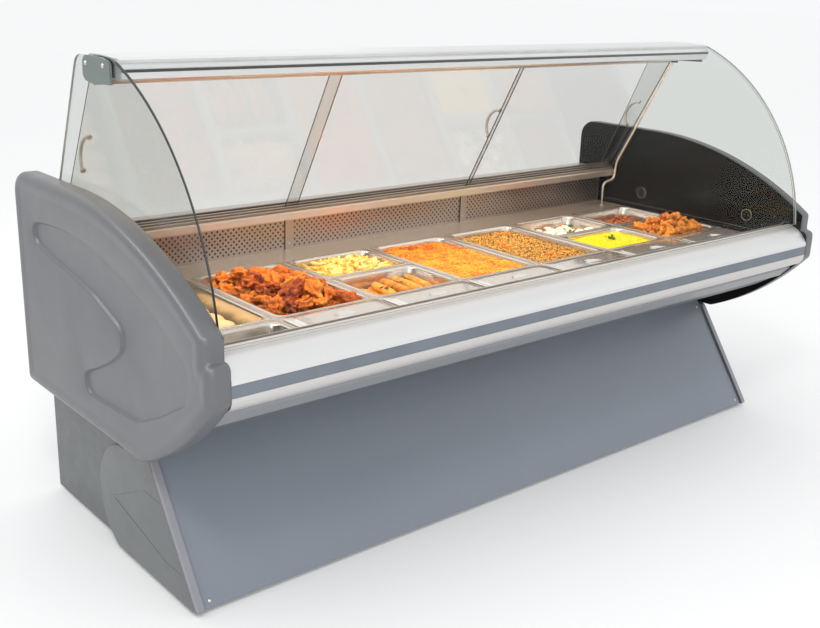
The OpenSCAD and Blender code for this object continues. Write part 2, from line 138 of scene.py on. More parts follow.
def moulded(name, light, dark, rough):
    """Satin moulded plastic: faint grain, cloudy gloss and a thin clear skin."""
    n = Nodes(name)
    colour = n.ramp(n.noise(5.0, 4.0), [(0.35, dark), (0.65, light)])
    gloss = n.span(n.noise(14.0, 4.0), rough - 0.03, rough + 0.04, 0.3, 0.7)
    grain = n.bump(n.noise(260.0, 2.0), 0.00002, 0.3)
    return n.surface(colour, gloss, 0.0, grain, Coat_Weight=0.15, Coat_Roughness=0.24)


def painted(name, light, dark, rough):
    """Powder coat: orange-peel bump and small marks in the gloss."""
    n = Nodes(name)
    colour = n.ramp(n.noise(2.2, 4.0), [(0.3, dark), (0.7, light)])
    gloss = n.span(n.noise(24.0, 6.0), rough - 0.04, rough + 0.08, 0.3, 0.7)
    peel = n.bump(n.noise(420.0, 2.0), 0.00012, 0.4)
    return n.surface(colour, gloss, 0.0, peel, Coat_Weight=0.12, Coat_Roughness=0.3)


def brushed(name, colour, rough, along, metal=1.0, tone=0.04, bump=0.00001):
    """Brushed metal whose fine lines run along axis 0, 1 or 2."""
    n = Nodes(name)
    across, lengthwise = 700.0, 4.0
    scale = [across] * 3
    scale[along] = lengthwise
    lines = n.noise(1.0, 4.0, n.stretched(scale), 0.7)
    cloud = n.noise(6.0, 3.0)
    dark = tuple(c * (1 - tone) for c in colour)
    light = tuple(min(1.0, c * (1 + tone)) for c in colour)
    tint = n.mix(0.5, n.ramp(lines, [(0.3, dark), (0.7, light)]),
                 n.ramp(cloud, [(0.3, dark), (0.7, light)]))
    gloss = n.math("ADD", n.span(lines, rough - 0.025, rough + 0.025, 0.3, 0.7),
                   n.span(cloud, -0.02, 0.02, 0.3, 0.7))
    return n.surface(tint, gloss, metal, n.bump(lines, bump, 0.5))


def pane(name, tint, gloss=0.9, base=0.012):
    """One face of clear glass; a pane has two of them, so the tint counts twice."""
    n = Nodes(name)
    facing = n.add("ShaderNodeLayerWeight", Blend=0.5).outputs["Facing"]
    fac = n.span(n.math("POWER", facing, 5.0), base, gloss)
    clear = n.add("ShaderNodeBsdfTransparent", Color=(*tint, 1)).outputs[0]
    smear = n.span(n.noise(7.0, 3.0), 0.0, 0.03, 0.4, 0.8)
    shine = n.add("ShaderNodeBsdfGlossy", Color=(1, 1, 1, 1), Roughness=smear).outputs[0]
    both = n.add("ShaderNodeMixShader", Fac=fac)
    n.tree.links.new(clear, both.inputs[1])
    n.tree.links.new(shine, both.inputs[2])
    n.tree.links.new(both.outputs[0], n.out.inputs[0])
    return n.mat


def glowing(name, colour, strength):
    """A glass that gives out light of its own colour."""
    n = Nodes(name)
    warm = n.ramp(n.noise(30.0), [(0.3, tuple(c * 0.8 for c in colour)), (0.7, colour)])
    return n.surface(warm, 0.3, Emission_Color=(*colour, 1), Emission_Strength=strength)


def plain(name, colour, rough, grain=300.0):
    """One colour with a fine grain and a slightly uneven gloss."""
    n = Nodes(name)
    low = tuple(c * 0.82 for c in colour)
    tint = n.ramp(n.noise(grain / 12, 4.0), [(0.3, low), (0.7, colour)])
    gloss = n.span(n.noise(grain / 6, 4.0), rough - 0.06, rough + 0.06, 0.3, 0.7)
    return n.surface(tint, gloss, 0.0, n.bump(n.noise(grain, 3.0), 0.0002, 0.5))


def polished(name, colour):
    """Deep gloss black with the faintest haze in its shine."""
    n = Nodes(name)
    low = tuple(c * 0.7 for c in colour)
    tint = n.ramp(n.noise(4.0, 4.0), [(0.3, low), (0.7, colour)])
    gloss = n.span(n.noise(9.0, 3.0), 0.02, 0.05, 0.35, 0.65)
    haze = n.bump(n.noise(30.0, 2.0), 0.00002, 0.3)
    return n.surface(tint, gloss, 0.0, haze, Specular_IOR_Level=0.3)


MOULDING = moulded("moulding", (0.126, 0.131, 0.140), (0.118, 0.123, 0.132), 0.36)
COVER = moulded("cover", (0.128, 0.137, 0.138), (0.119, 0.128, 0.129), 0.38)
# a paler lavender copy of the cover: painted sheen for its front-facing faces
COVER_SHEEN = moulded("cover_painted_sheen", (0.268, 0.268, 0.292), (0.255, 0.255, 0.279), 0.34)
PLATE = moulded("rail_plate", (0.132, 0.166, 0.155), (0.122, 0.155, 0.144), 0.36)
PAINT = painted("painted_steel", (0.208, 0.236, 0.278), (0.196, 0.223, 0.264), 0.38)
SIDE_PAINT = painted("side_paint", (0.118, 0.127, 0.129), (0.109, 0.118, 0.120), 0.42)
# the lower body's paint made darker than the front panel's: painted shade under the bumper
LOWER_BODY_SHADE = painted("painted_shade_lower_body", (0.110, 0.114, 0.122), (0.098, 0.102, 0.110), 0.5)
# blue-grey for the bumper's lower lip: painted shade
LIP_SHADE = painted("painted_shade_lip", (0.250, 0.262, 0.278), (0.235, 0.247, 0.263), 0.40)
FRAME_PAINT = painted("frame_paint", (0.075, 0.080, 0.085), (0.055, 0.06, 0.065), 0.45)
LINER = polished("liner", (0.005, 0.0045, 0.004))
END_PANE = pane("end_pane", (0.858, 0.870, 0.857), 0.6, 0.002)
DOOR_PANE = pane("door_pane", (0.884, 0.882, 0.872), 0.7, 0.030)
FRONT_PANE = pane("front_pane", (0.985, 0.988, 0.985), 0.35, 0.003)
# painted shade: the glass edges seen dark on the left
DARK_GLASS_SHADE = plain("glass_edge_painted_shade", (0.014, 0.022, 0.021), 0.12, 60.0)
DOOR_EDGE = plain("door_edge", (0.060, 0.060, 0.052), 0.12, 60.0)
# pale grey for the rail's shaded end faces and the front glass's top edge: painted light
LIGHT_PAINTED_EDGE = plain("edge_painted_light", (0.62, 0.64, 0.63), 0.2, 60.0)
CLEAR = pane("clear_plastic", (0.80, 0.79, 0.78))
# pale grey for the glass discs' edges and rings: painted highlight
DISC_HIGHLIGHT = plain("disc_painted_highlight", (0.36, 0.34, 0.32), 0.15, 60.0)
ALUMINIUM = brushed("aluminium", (0.74, 0.745, 0.75), 0.32, 0, 0.85, 0.02)
BUMPER = brushed("bumper", (0.69, 0.69, 0.69), 0.40, 0, 0.55, 0.015)
BUMPER_LOW = brushed("bumper_low", (0.60, 0.585, 0.57), 0.40, 0, 0.55, 0.015)
INSERT = plain("insert", (0.165, 0.192, 0.228), 0.42, 90.0)
# painted highlight: the glass edges seen pale
PALE_GLASS_HIGHLIGHT = plain("glass_edge_painted_highlight", (0.34, 0.37, 0.35), 0.12, 60.0)
RUBBER = plain("rubber", (0.022, 0.022, 0.022), 0.62)
BLACK = plain("black_plastic", (0.020, 0.020, 0.021), 0.42)
STEEL = brushed("steel", (0.66, 0.61, 0.57), 0.30, 0, 0.75, 0.01, 0.0000006)
TRACK = brushed("track", (0.42, 0.37, 0.33), 0.36, 0, 0.75, 0.01, 0.0000006)
WALL = brushed("wall_steel", (0.49, 0.42, 0.37), 0.34, 0, 0.9, 0.02, 0.000004)
SCREW = brushed("cover_screw", (0.34, 0.22, 0.15), 0.35, 0, 0.9)
# near black for the walls of the back wall's holes: painted shade
PERFORATION_SHADE = plain("perforation_painted_shade", (0.05, 0.04, 0.034), 0.5)
PAN_STEEL = brushed("pan_steel", (0.74, 0.70, 0.64), 0.22, 1, 0.85, 0.03, 0.000004)
LID_STEEL = brushed("lid_steel", (0.80, 0.79, 0.78), 0.14, 0, 0.78, 0.02, 0.000004)
TUBE = brushed("tube_steel", (0.82, 0.74, 0.66), 0.28, 2, 0.7)
HEATER = brushed("heater", (0.20, 0.16, 0.14), 0.42, 0)
LAMP = glowing("lamp_glass", (1.0, 0.52, 0.20), 1.5)
CERAMIC = plain("ceramic", (0.78, 0.77, 0.73), 0.55)
PILOT = glowing("pilot", (0.15, 0.9, 0.25), 1.2)


def dress(node, *materials, pick=None):
    """Gives a CAD node its materials; pick(centre, normal) says which one a face takes."""
    mesh = NODES[node].data
    mesh.materials.clear()
    for material in materials:
        mesh.materials.append(material)
    for face in mesh.polygons:
        face.material_index = pick(face.center, face.normal) if pick else 0


for material, names in (
        (STEEL, "well_tub deck_frame divider_bars work_shelf lamp_reflector "
                "handle_left handle_middle handle_right"),
        (BLACK, "feet main_switch lamp_switch heat_knob cable_gland"),
        (FRAME_PAINT, "base_frame"), (SIDE_PAINT, "side_panels"), (PAINT, "front_panel"),
        (HEATER, "heating_elements"), (TRACK, "door_tracks"), (PLATE, "rail_end_plates"),
        (RUBBER, "rail_gasket"), (BUMPER, "bumper_upper"), (INSERT, "bumper_insert")):
    for name in names.split():
        dress(name, material)

DOOR_LEAN = radians(28.6)
DOOR_OUT = Vector((0, cos(DOOR_LEAN), sin(DOOR_LEAN)))
GLASS_ARC_CENTRE = Vector((0, 0.205, 0.6835))
ARC_REAR_Y = 0.02
COVER_SCREWS_X, COVER_SCREWS_TOP = 1.19, 0.35
HOLES_BOTTOM, HOLES_TOP = 0.69, 0.785
BUMPER_LIP_TOP = 0.6065
REAR_RECESS_Y = 0.49
GLASS_TOP_EDGE_Z = 1.3
LAMP_AXIS, LAMP_GLASS_RADIUS = Vector((0.042, 1.2965)), 0.0056
PILOT_FACE_Y = 0.5231


def radial(centre):
    """The way out from the axis that the glass is bent round."""
    return (Vector((0, centre.y, centre.z)) - GLASS_ARC_CENTRE).normalized()


def end_edge(centre, normal):
    """Clear faces, the left pane's arc painted dark as shade and the other edges painted pale as a
    highlight.
    """
    if abs(normal.x) > 0.5:
        return 0
    on_arc = normal.dot(radial(centre)) > 0.9 and centre.y < ARC_REAR_Y
    return 1 if on_arc and centre.x < 0 else 2


# the end faces of rail and hinge lie in shade and are painted pale as if lit
for name in ("top_rail", "glass_hinge"):
    dress(name, ALUMINIUM, LIGHT_PAINTED_EDGE, pick=lambda c, n: int(abs(n.x) > 0.5))
dress("case_screws", STEEL, SCREW,
      pick=lambda c, n: int(abs(c.x) > COVER_SCREWS_X and c.z < COVER_SCREWS_TOP))
# the hole walls take the near-black painted shade
dress("back_wall", WALL, PERFORATION_SHADE,
      pick=lambda c, n: int(abs(n.y) < 0.5 and HOLES_BOTTOM < c.z < HOLES_TOP))
dress("end_liners", LINER, MOULDING, pick=lambda c, n: int(abs(n.x) < 0.5))
# below BUMPER_LIP_TOP the bumper is coloured blue-grey as painted shade
dress("bumper_lower", BUMPER_LOW, LIP_SHADE, pick=lambda c, n: int(c.z < BUMPER_LIP_TOP))
# the lower body takes the darker paint, which stands in for its shade
dress("lower_body", LOWER_BODY_SHADE, BLACK,
      pick=lambda c, n: int(c.y > REAR_RECESS_Y and n.y < -0.5))
for side in ("left", "right"):
    dress("end_glass_" + side, END_PANE, DARK_GLASS_SHADE, PALE_GLASS_HIGHLIGHT, pick=end_edge)
dress("glass_discs", CLEAR, DISC_HIGHLIGHT, pick=lambda c, n: int(abs(n.x) < 0.5))


def front_edge(centre, normal):
    """Clear faces, then the left end painted dark as shade, the right end painted pale as a
    highlight, and the top edge painted pale as light.
    """
    if abs(normal.x) > 0.5:
        return 1 if centre.x < 0 else 2
    if abs(normal.dot(radial(centre))) > 0.5:
        return 0
    return 3 if centre.z > GLASS_TOP_EDGE_Z else 2


dress("front_glass", FRONT_PANE, DARK_GLASS_SHADE, PALE_GLASS_HIGHLIGHT, LIGHT_PAINTED_EDGE, pick=front_edge)
for side in ("left", "middle", "right"):
    dress("door_" + side, DOOR_PANE, DOOR_EDGE,
          pick=lambda c, n: int(abs(n.dot(DOOR_OUT)) < 0.5))
dress("heat_lamps", LAMP, CERAMIC,
      pick=lambda c, n: int((Vector((c.y, c.z)) - LAMP_AXIS).length > LAMP_GLASS_RADIUS))
dress("control_panel", STEEL, PILOT, pick=lambda c, n: int(c.y > PILOT_FACE_Y))

# ------------------------------------------------------------------ mesh helpers


def in_scene(name, data):
    """A new object that holds the mesh, lamp or camera data."""
    obj = bpy.data.objects.new(name, data)
    bpy.context.scene.collection.objects.link(obj)
    return obj


def finished(bm, name, material, body, sharp=None, smooth=True, mesh=None):
    """The bmesh as an object riding on a body, with edges over sharp degrees kept sharp."""
    bmesh.ops.recalc_face_normals(bm, faces=bm.faces)
    mesh = mesh or bpy.data.meshes.new(name)
    bm.to_mesh(mesh)
    bm.free()
    mesh.materials.append(material)
    mesh.polygons.foreach_set("use_smooth", [smooth] * len(mesh.polygons))
    if sharp is not None:
        mesh.set_sharp_from_angle(angle=radians(sharp))
    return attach(in_scene(name, mesh), body)


def piece(name, verts, faces, material, body, smooth=True, shade=None, sharp=None):
    """A mesh object riding on a body; shade is one number per vertex for its material."""
    mesh = bpy.data.meshes.new(name)
    mesh.from_pydata([tuple(v) for v in verts], [], faces)
    mesh.update()
    if shade is not None:
        data = mesh.attributes.new("shade", "FLOAT", "POINT")
        data.data.foreach_set("value", shade)
    bm = bmesh.new()
    bm.from_mesh(mesh)
    return finished(bm, name, material, body, sharp, smooth, mesh)


def loft(rings):
    """Verts and faces of rings of equal length joined in order and capped."""
    count = len(rings[0])
    verts = [v for ring in rings for v in ring]
    faces = []
    for first in range(0, len(verts) - count, count):
        faces += [(first + i, first + (i + 1) % count,
                   first + count + (i + 1) % count, first + count + i) for i in range(count)]
    faces.append(tuple(reversed(range(count))))
    faces.append(tuple(range(len(verts) - count, len(verts))))
    return verts, faces


def held(value, low=0, high=1):
    """The value kept between low and high."""
    return min(max(value, low), high)


def smoothstep(t):
    t = held(t)
    return t * t * (3 - 2 * t)


def turns(count):
    """Angles that divide a full turn evenly."""
    return [2 * pi * k / count for k in range(count)]


def circle(cx, cy, radius, z, count):
    return [(cx + radius * cos(t), cy + radius * sin(t), z) for t in turns(count)]


def arc_points(cy, cz, radius, start, end, count):
    """Points of an arc in the Y-Z plane, in metres from millimetres, ends included."""
    turn = [radians(start + (end - start) * i / count) for i in range(count + 1)]
    return [((cy + radius * cos(a)) / 1000, (cz + radius * sin(a)) / 1000) for a in turn]


def evened(loop, count):
    """The closed loop resampled to count points spaced evenly along it."""
    lengths = [0.0]
    for a, b in zip(loop, loop[1:] + loop[:1]):
        lengths.append(lengths[-1] + dist(a, b))
    result, k = [], 0
    for i in range(count):
        want = lengths[-1] * i / count
        while lengths[k + 1] < want:
            k += 1
        t = (want - lengths[k]) / max(1e-9, lengths[k + 1] - lengths[k])
        a, b = loop[k], loop[(k + 1) % len(loop)]
        result.append(tuple(p + (q - p) * t for p, q in zip(a, b)))
    return result


def eased(loop, rounds):
    """The loop with its corners rounded by averaging each point with its neighbours."""
    for _ in range(rounds):
        after = loop[1:] + loop[:1]
        loop = [tuple((a + 2 * b + c) / 4 for a, b, c in zip(loop[i - 1], p, after[i]))
                for i, p in enumerate(loop)]
    return loop


def shrunk(loop, by):
    """The loop moved to its inside by a distance; the loop runs anticlockwise."""
    result = []
    for i, p in enumerate(loop):
        a, b = loop[i - 1], loop[(i + 1) % len(loop)]
        d = Vector((b[0] - a[0], b[1] - a[1])).normalized()
        result.append((p[0] - d.y * by, p[1] + d.x * by))
    return result


def filled(bm, loops):
    """Fills the flat region between closed loops of bmesh vertices."""
    edges = []
    for loop in loops:
        for a, b in zip(loop, loop[1:] + loop[:1]):
            edges.append(bm.edges.get((a, b)) or bm.edges.new((a, b)))
    bmesh.ops.triangle_fill(bm, use_beauty=True, use_dissolve=False, edges=edges)


def skinned(bm, rings):
    """Joins each ring of bmesh vertices to the next with quads."""
    for a, b in zip(rings, rings[1:]):
        for i in range(len(a)):
            j = (i + 1) % len(a)
            bm.faces.new((a[i], a[j], b[j], b[i]))


def side_ring(bm, loop, x):
    """Bmesh vertices along a side outline at x, which is in millimetres."""
    return [bm.verts.new((x / 1000, y, z)) for y, z in loop]


def tube(name, points, radius, material, body, around):
    """A round tube swept along points."""
    rings, up = [], Vector((0, 0, 1))
    points = [Vector(p) for p in points]
    for i, p in enumerate(points):
        d = (points[min(i + 1, len(points) - 1)] - points[max(i - 1, 0)]).normalized()
        side = d.cross(up)
        side = side.normalized() if side.length > 1e-4 else Vector((1, 0, 0))
        top = side.cross(d)
        rings.append([p + side * cos(t) * radius + top * sin(t) * radius
                      for t in turns(around)])
    return piece(name, *loft(rings), material, body)


# ------------------------------------------------------------------ end panels

INNER = abs(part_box("end_liners")[0].x)
OUTER = abs(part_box("end_panel_left")[0].x)
ROLL = 24.0  # millimetres, like every size in an outline
RIM_POINTS, SWOOSH_POINTS = 620, 300


def panel_loop(inset):
    """Side outline of an end panel, drawn in by inset millimetres, anticlockwise."""
    low, high, left = 365 + inset, 1005 - inset, -548 + inset
    horn, step = -521 + inset, 732 - inset
    top_c, top_r = (182, high - 1245), 1245
    low_c, low_r = (190, 1251), 961 - inset
    corner = max(22 - inset, 2)
    loop = [(y / 1000, low / 1000) for y in range(-100, 520, 20)]
    loop += arc_points(548 - inset - corner, low + corner, corner, -90, 0, 6)
    loop += [((548 - inset) / 1000, z / 1000) for z in range(400, 930, 20)]
    corner = 62 - inset
    loop += arc_points(548 - inset - corner, high - corner, corner, 0, 90, 10)
    end = degrees(acos((horn - top_c[0]) / top_r))
    loop += arc_points(*top_c, top_r, 90, end, 44)
    edge_z = top_c[1] + sqrt(top_r ** 2 - (horn - top_c[0]) ** 2)
    loop += [(horn / 1000, (edge_z + (step - edge_z) * t / 6) / 1000) for t in range(1, 7)]
    corner = max(18 - inset, 1)
    loop += arc_points(left + corner, step - corner, corner, 90, 180, 5)
    start = 360 - degrees(acos((left - low_c[0]) / low_r))
    foot = -sqrt(low_r ** 2 - (low_c[1] - low) ** 2) + low_c[0]
    end = 360 - degrees(acos((foot - low_c[0]) / low_r))
    loop += arc_points(*low_c, low_r, start, end, 30)
    loop += [((foot + (-100 - foot) * t / 5) / 1000, low / 1000) for t in range(1, 5)]
    return loop


def swoosh_loop():
    """Outline of the recess: long arcs, tight arcs at its ends, two straight runs."""
    loop = arc_points(217, -371, 1266, 82, 119, 24)
    loop += arc_points(-372, 658, 81, 110, 258, 16)
    loop += arc_points(197, 1500, 1092, 237.6, 250, 10)
    loop += arc_points(95, 497, 40, -90, 45, 8)
    loop += [(0.050, 0.556), (-0.016, 0.588), (-0.062, 0.615)]
    loop += arc_points(-66, 668, 42, 222, 98, 10)
    loop += [(0.053, 0.751), (0.174, 0.773), (0.304, 0.791)]
    loop += arc_points(392, 847, 38, -60, 75, 8)
    return loop


def end_panel(name, side):
    """Moulded end panel: rolled rim, flat field and a stepped swoosh pressed into it."""
    bm = bmesh.new()
    base, outer = INNER * 1000, OUTER * 1000

    def ring(loop, x):
        return side_ring(bm, loop, side * x)

    insets = [ROLL * (1 - cos(radians(a))) for a in range(0, 91, 9)]
    depths = [ROLL * sin(radians(a)) for a in range(0, 91, 9)]
    loops = [eased(evened(panel_loop(i), RIM_POINTS), 3) for i in insets]
    back = ring(shrunk(loops[0], 0.0015), base)
    rings = [back, ring(loops[0], base + 1.5)]
    rings += [ring(loops[0], base + t) for t in (10, 20)]
    rings += [ring(loop, outer - ROLL + d) for loop, d in zip(loops, depths)]
    # the roll sinks a little behind the rim, so the field reads as pressed
    dish = [(6, 0.3), (13, 1.2), (20, 2.4), (27, 3.0)]
    for more, sunk in dish:
        rings.append(ring(shrunk(loops[-1], more / 1000), outer - sunk))
    skinned(bm, rings)
    field = outer - dish[-1][1]
    swoosh = eased(evened(swoosh_loop(), SWOOSH_POINTS), 5)
    steps = [(0, 0.0), (1, 0.3), (2.5, 1.6), (5, 5.2), (7, 8.0), (8.5, 9.3), (10.5, 9.8)]
    inner = [ring(shrunk(swoosh, i / 1000), field - d) for i, d in steps]
    skinned(bm, inner)
    filled(bm, [rings[-1], inner[0]])
    filled(bm, [inner[-1]])
    filled(bm, [back])
    return finished(bm, name, MOULDING, "case", 60)


for side, sign in (("left", -1), ("right", 1)):
    panel = end_panel("moulded_end_" + side, sign)
    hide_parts("end_panel_" + side)

# ------------------------------------------------------------------ pedestal covers


def cover_loop(inset):
    """Outline of a side cover: round at the back, leaning at the front."""
    low = 8 + inset
    radius = 170 - inset
    loop = [(y / 1000, low / 1000) for y in range(-360, 40, 20)]
    start = -degrees(asin((165 - low) / radius))
    loop += arc_points(-10, 165, radius, start, 90, 30)
    loop += [(y / 1000, (364 - inset) / 1000) for y in (-50, -80, -110, -140)]
    top = Vector((-148 + inset * 0.55, 364 - inset))
    foot = Vector((-388 + inset * 1.75, 14 + inset))
    loop += [tuple((top + (foot - top) * t / 16) / 1000) for t in range(0, 17)]
    return loop


def side_cover(name, side):
    """Moulded cover with a small round along its outer edge; its front-facing faces get a paler
    painted sheen.
    """
    bm = bmesh.new()
    inside, outside, round_off = 1185.0, 1209.0, 7

    def ring(loop, x):
        return side_ring(bm, loop, side * x)

    angles = [radians(a) for a in range(0, 91, 15)]
    loops = [eased(evened(cover_loop(round_off * (1 - cos(a))), 260), 4) for a in angles]
    rings = [ring(loops[0], inside), ring(loops[0], outside - 8)]
    rings += [ring(loop, outside - round_off + round_off * sin(a))
              for loop, a in zip(loops, angles)]
    skinned(bm, rings)
    filled(bm, [rings[0]])
    filled(bm, [rings[-1]])
    cover = finished(bm, name, COVER, "case", 60)
    cover.data.materials.append(COVER_SHEEN)
    # front-facing faces take the paler copy, a painted sheen
    for face in cover.data.polygons:
        face.material_index = int(face.normal.y < -0.5 and face.center.y < -0.15)
    return cover


GROOVE_X, GROOVE_RADIUS = 1.2091, 0.0007
GROOVES = (
    [(0.063, 0.165), (-0.112, 0.2515), (-0.130, 0.2545), (-0.160, 0.2530), (-0.214, 0.2520)],
    [(0.060, 0.158), (-0.222, 0.0945), (-0.245, 0.0915), (-0.270, 0.0925), (-0.320, 0.0940)])
for side, sign in (("left", -1), ("right", 1)):
    cover = side_cover("moulded_cover_" + side, sign)
    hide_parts("side_cover_" + side)
    for k, line in enumerate(GROOVES):
        groove = tube(f"cover_groove_{side}_{k}", [(sign * GROOVE_X, y, z) for y, z in line],
                      GROOVE_RADIUS, SIDE_PAINT, "case", 8)

# ------------------------------------------------------------------ wiring tube


def rounded_path(points, radius, steps=6):
    """The path with each corner replaced by a smooth bend."""
    points = [Vector(p) for p in points]
    path = [points[0]]
    for a, b, c in zip(points, points[1:], points[2:]):
        cut = min(radius, (b - a).length * 0.48, (c - b).length * 0.48)
        start, end = b + (a - b).normalized() * cut, b + (c - b).normalized() * cut
        for k in range(steps + 1):
            t = k / steps
            path.append(start * (1 - t) ** 2 + b * 2 * t * (1 - t) + end * t * t)
    path.append(points[-1])
    return path


TUBE_X, TUBE_Y, TUBE_RADIUS = 1.108, 0.335, 0.0045


def wiring():
    """The bent tube from deck to rail, with its flange and its clip."""
    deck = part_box("deck_frame")[0].z + 0.003
    route = [(TUBE_X, TUBE_Y, deck), (TUBE_X, TUBE_Y, 0.775), (1.171, 0.333, 0.788),
             (1.171, 0.327, 0.858), (1.171, 0.114, 1.251), (1.171, 0.090, 1.286)]
    body = tube("bent_tube", rounded_path(route, 0.020), TUBE_RADIUS, TUBE, "case", 18)
    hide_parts("wiring_tube")
    base = [circle(TUBE_X, TUBE_Y, r, deck + z, 28)
            for r, z in ((0.009, 0.0002), (0.009, 0.002), (0.0075, 0.003), (0.0048, 0.0032))]
    piece("tube_flange", *loft(base), TUBE, "case")
    clip = []
    for x, grow in ((1.1602, 0.0015), (1.1617, 0), (1.1803, 0), (1.1818, 0.0015)):
        y0, y1, z0, z1 = 0.080 + grow, 0.098 - grow, 1.279 + grow, 1.2918 - grow
        clip.append([(x, y0, z0), (x, y1, z0), (x, y1, z1), (x, y0, z1)])
    piece("tube_clip", *loft(clip), BLACK, "case", False)


wiring()

# thin pale rings drawn round the glass discs' rims: a painted highlight
DISC_Z, DISC_RIM = 0.750, 0.0208
for side, x in (("left", -1.1827), ("right", 1.1827)):
    for end, y in (("front", -0.298), ("rear", 0.195)):
        rim = [(x, y + DISC_RIM * cos(t), DISC_Z + DISC_RIM * sin(t))
               for t in turns(40) + [2 * pi]]
        ring = tube(f"disc_highlight_ring_{side}_{end}", rim, 0.0007, DISC_HIGHLIGHT, "case", 8)

# ------------------------------------------------------------------ pans and lids


def rounded_ring(cx, cy, w, l, radius, z, per=7):
    """A rounded rectangle about (cx, cy), 4 * (per + 1) points, anticlockwise."""
    radius = min(radius, w / 2 - 1e-4, l / 2 - 1e-4)
    ring = []
    for k, (sx, sy) in enumerate(((1, -1), (1, 1), (-1, 1), (-1, -1))):
        for i in range(per + 1):
            a = radians(-90 + 90 * k + 90 * i / per)
            ring.append((cx + sx * (w / 2 - radius) + radius * cos(a),
                         cy + sy * (l / 2 - radius) + radius * sin(a), z))
    return ring


def plan(low, high):
    """Middle x and y of a box, then its width and length."""
    return (low.x + high.x) / 2, (low.y + high.y) / 2, high.x - low.x, high.y - low.y


def rings_of(cx, cy, w, l, profile, per=7):
    """Rounded rectangles drawn in by each profile row's (inset, z, corner radius)."""
    return [rounded_ring(cx, cy, w - 2 * i, l - 2 * i, r, z, per) for i, z, r in profile]


def pan_mesh(name, low, high, body):
    """Pressed steel pan: rolled rim, tapered walls and a coved floor, with real thickness."""
    cx, cy, w, l = plan(low, high)
    top, floor = high.z, low.z
    t = 0.0012
    inside = [(0.0010, top - 0.0006, 0.016), (0.0022, top, 0.016), (0.0085, top, 0.024),
              (0.0115, top - 0.0008, 0.029), (0.0134, top - 0.0030, 0.032),
              (0.0142, top - 0.008, 0.033)]
    inside += [(0.0150 + 0.0020 * k, top - 0.012 - 0.0150 * k, 0.034) for k in range(5)]
    for a in range(0, 91, 15):
        s, c = sin(radians(a)), cos(radians(a))
        inside.append((0.0240 + 0.012 * (1 - c), floor + t + 0.012 * (1 - s), 0.036))
    outside = [(i - t * 0.95, max(z - t * 0.2, floor), r + t) for i, z, r in inside[5:-1]]
    outside[-1] = (outside[-1][0], floor, outside[-1][2])
    under = [(0.0, top - 0.0012, 0.016), (0.0022, top - 0.0012, 0.016),
             (0.0110, top - 0.0014, 0.026)]
    profile = list(reversed(inside)) + under + outside
    return piece(name, *loft(rings_of(cx, cy, w, l, profile)), PAN_STEEL, body, sharp=50)


for name in ("pan_1", "pan_2", "pan_3_rear", "pan_3_front", "pan_4", "pan_5", "pan_6_rear",
             "pan_6_front", "pan_7_rear", "pan_7_front"):
    pan = pan_mesh("pressed_" + name, *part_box(name), name)
    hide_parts(name)

FRONT_LOW, FRONT_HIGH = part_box("front_pans")
PAN_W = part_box("pan_1")[1].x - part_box("pan_1")[0].x
PITCH = (FRONT_HIGH.x - FRONT_LOW.x - PAN_W) / 6
for i in range(7):
    x = FRONT_LOW.x + i * PITCH
    corner = Vector((x, FRONT_LOW.y, FRONT_LOW.z))
    across = Vector((x + PAN_W, FRONT_HIGH.y, FRONT_HIGH.z))
    pan = pan_mesh(f"pressed_front_pan_{i + 1}", corner, across, "case")
    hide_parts("front_pans")


def lid(name, body):
    """Polished lid: stepped field, round hollow and the strap across it."""
    cx, cy, w, l = plan(*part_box(body))
    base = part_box("pan_2")[1].z + 0.0003
    crown = base + 0.0042
    bm = bmesh.new()
    per = 15
    count = 4 * (per + 1)
    skin, gap = 0.0008, 0.0006

    def ring(points):
        return [bm.verts.new(p) for p in points]

    edge = [(0.0008, base, 0.016), (0.0, base + 0.0006, 0.016), (0.0008, base + 0.0012, 0.016),
            (0.0140, base + 0.0012, 0.020), (0.0170, base + 0.0015, 0.022),
            (0.0200, base + 0.0028, 0.024), (0.0225, base + 0.0040, 0.026), (0.0255, crown, 0.028)]
    rings = [ring(r) for r in rings_of(cx, cy, w, l, edge, per)]
    skinned(bm, rings)
    hollow = [(0.0425, 0.0), (0.0405, 0.0), (0.0390, -0.0006), (0.0375, -0.0025),
              (0.0340, -0.0065), (0.0290, -0.0092), (0.0200, -0.0103), (0.0080, -0.0106)]
    circles = [ring(circle(cx, cy, r, crown + z, count)) for r, z in hollow]
    skinned(bm, circles)
    filled(bm, [rings[-1], circles[0]])
    bm.faces.new(circles[-1])
    # underside, a sheet thickness below
    below = [(i + gap, z - skin, r) for i, z, r in edge[3:]]
    unders = [ring(r) for r in rings_of(cx, cy, w, l, [(0.0014, base, 0.016)] + below, per)]
    skinned(bm, [rings[0], unders[0]])
    skinned(bm, unders)
    bowls = [ring(circle(cx, cy, r + gap, crown + z - skin, count)) for r, z in hollow]
    skinned(bm, bowls)
    filled(bm, [unders[-1], bowls[0]])
    bm.faces.new(bowls[-1])
    plate = finished(bm, name, LID_STEEL, body, 50)
    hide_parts(body)
    # strap
    rings = []
    for k in range(17):
        t = -1 + k / 8
        x = cx + 0.0405 * t
        z = crown + 0.0006 - 0.0012 * t * t
        half = 0.0080 + 0.0030 * t * t
        rings.append([(x, cy - half, z - 0.0010), (x, cy + half, z - 0.0010),
                      (x, cy + half, z), (x, cy, z + 0.0006), (x, cy - half, z)])
    strap = piece(name + "_strap", *loft(rings), LID_STEEL, body, sharp=40)


for i in range(2, 8):
    lid(f"polished_lid_{i}", f"lid_{i}")

# ------------------------------------------------------------------ food

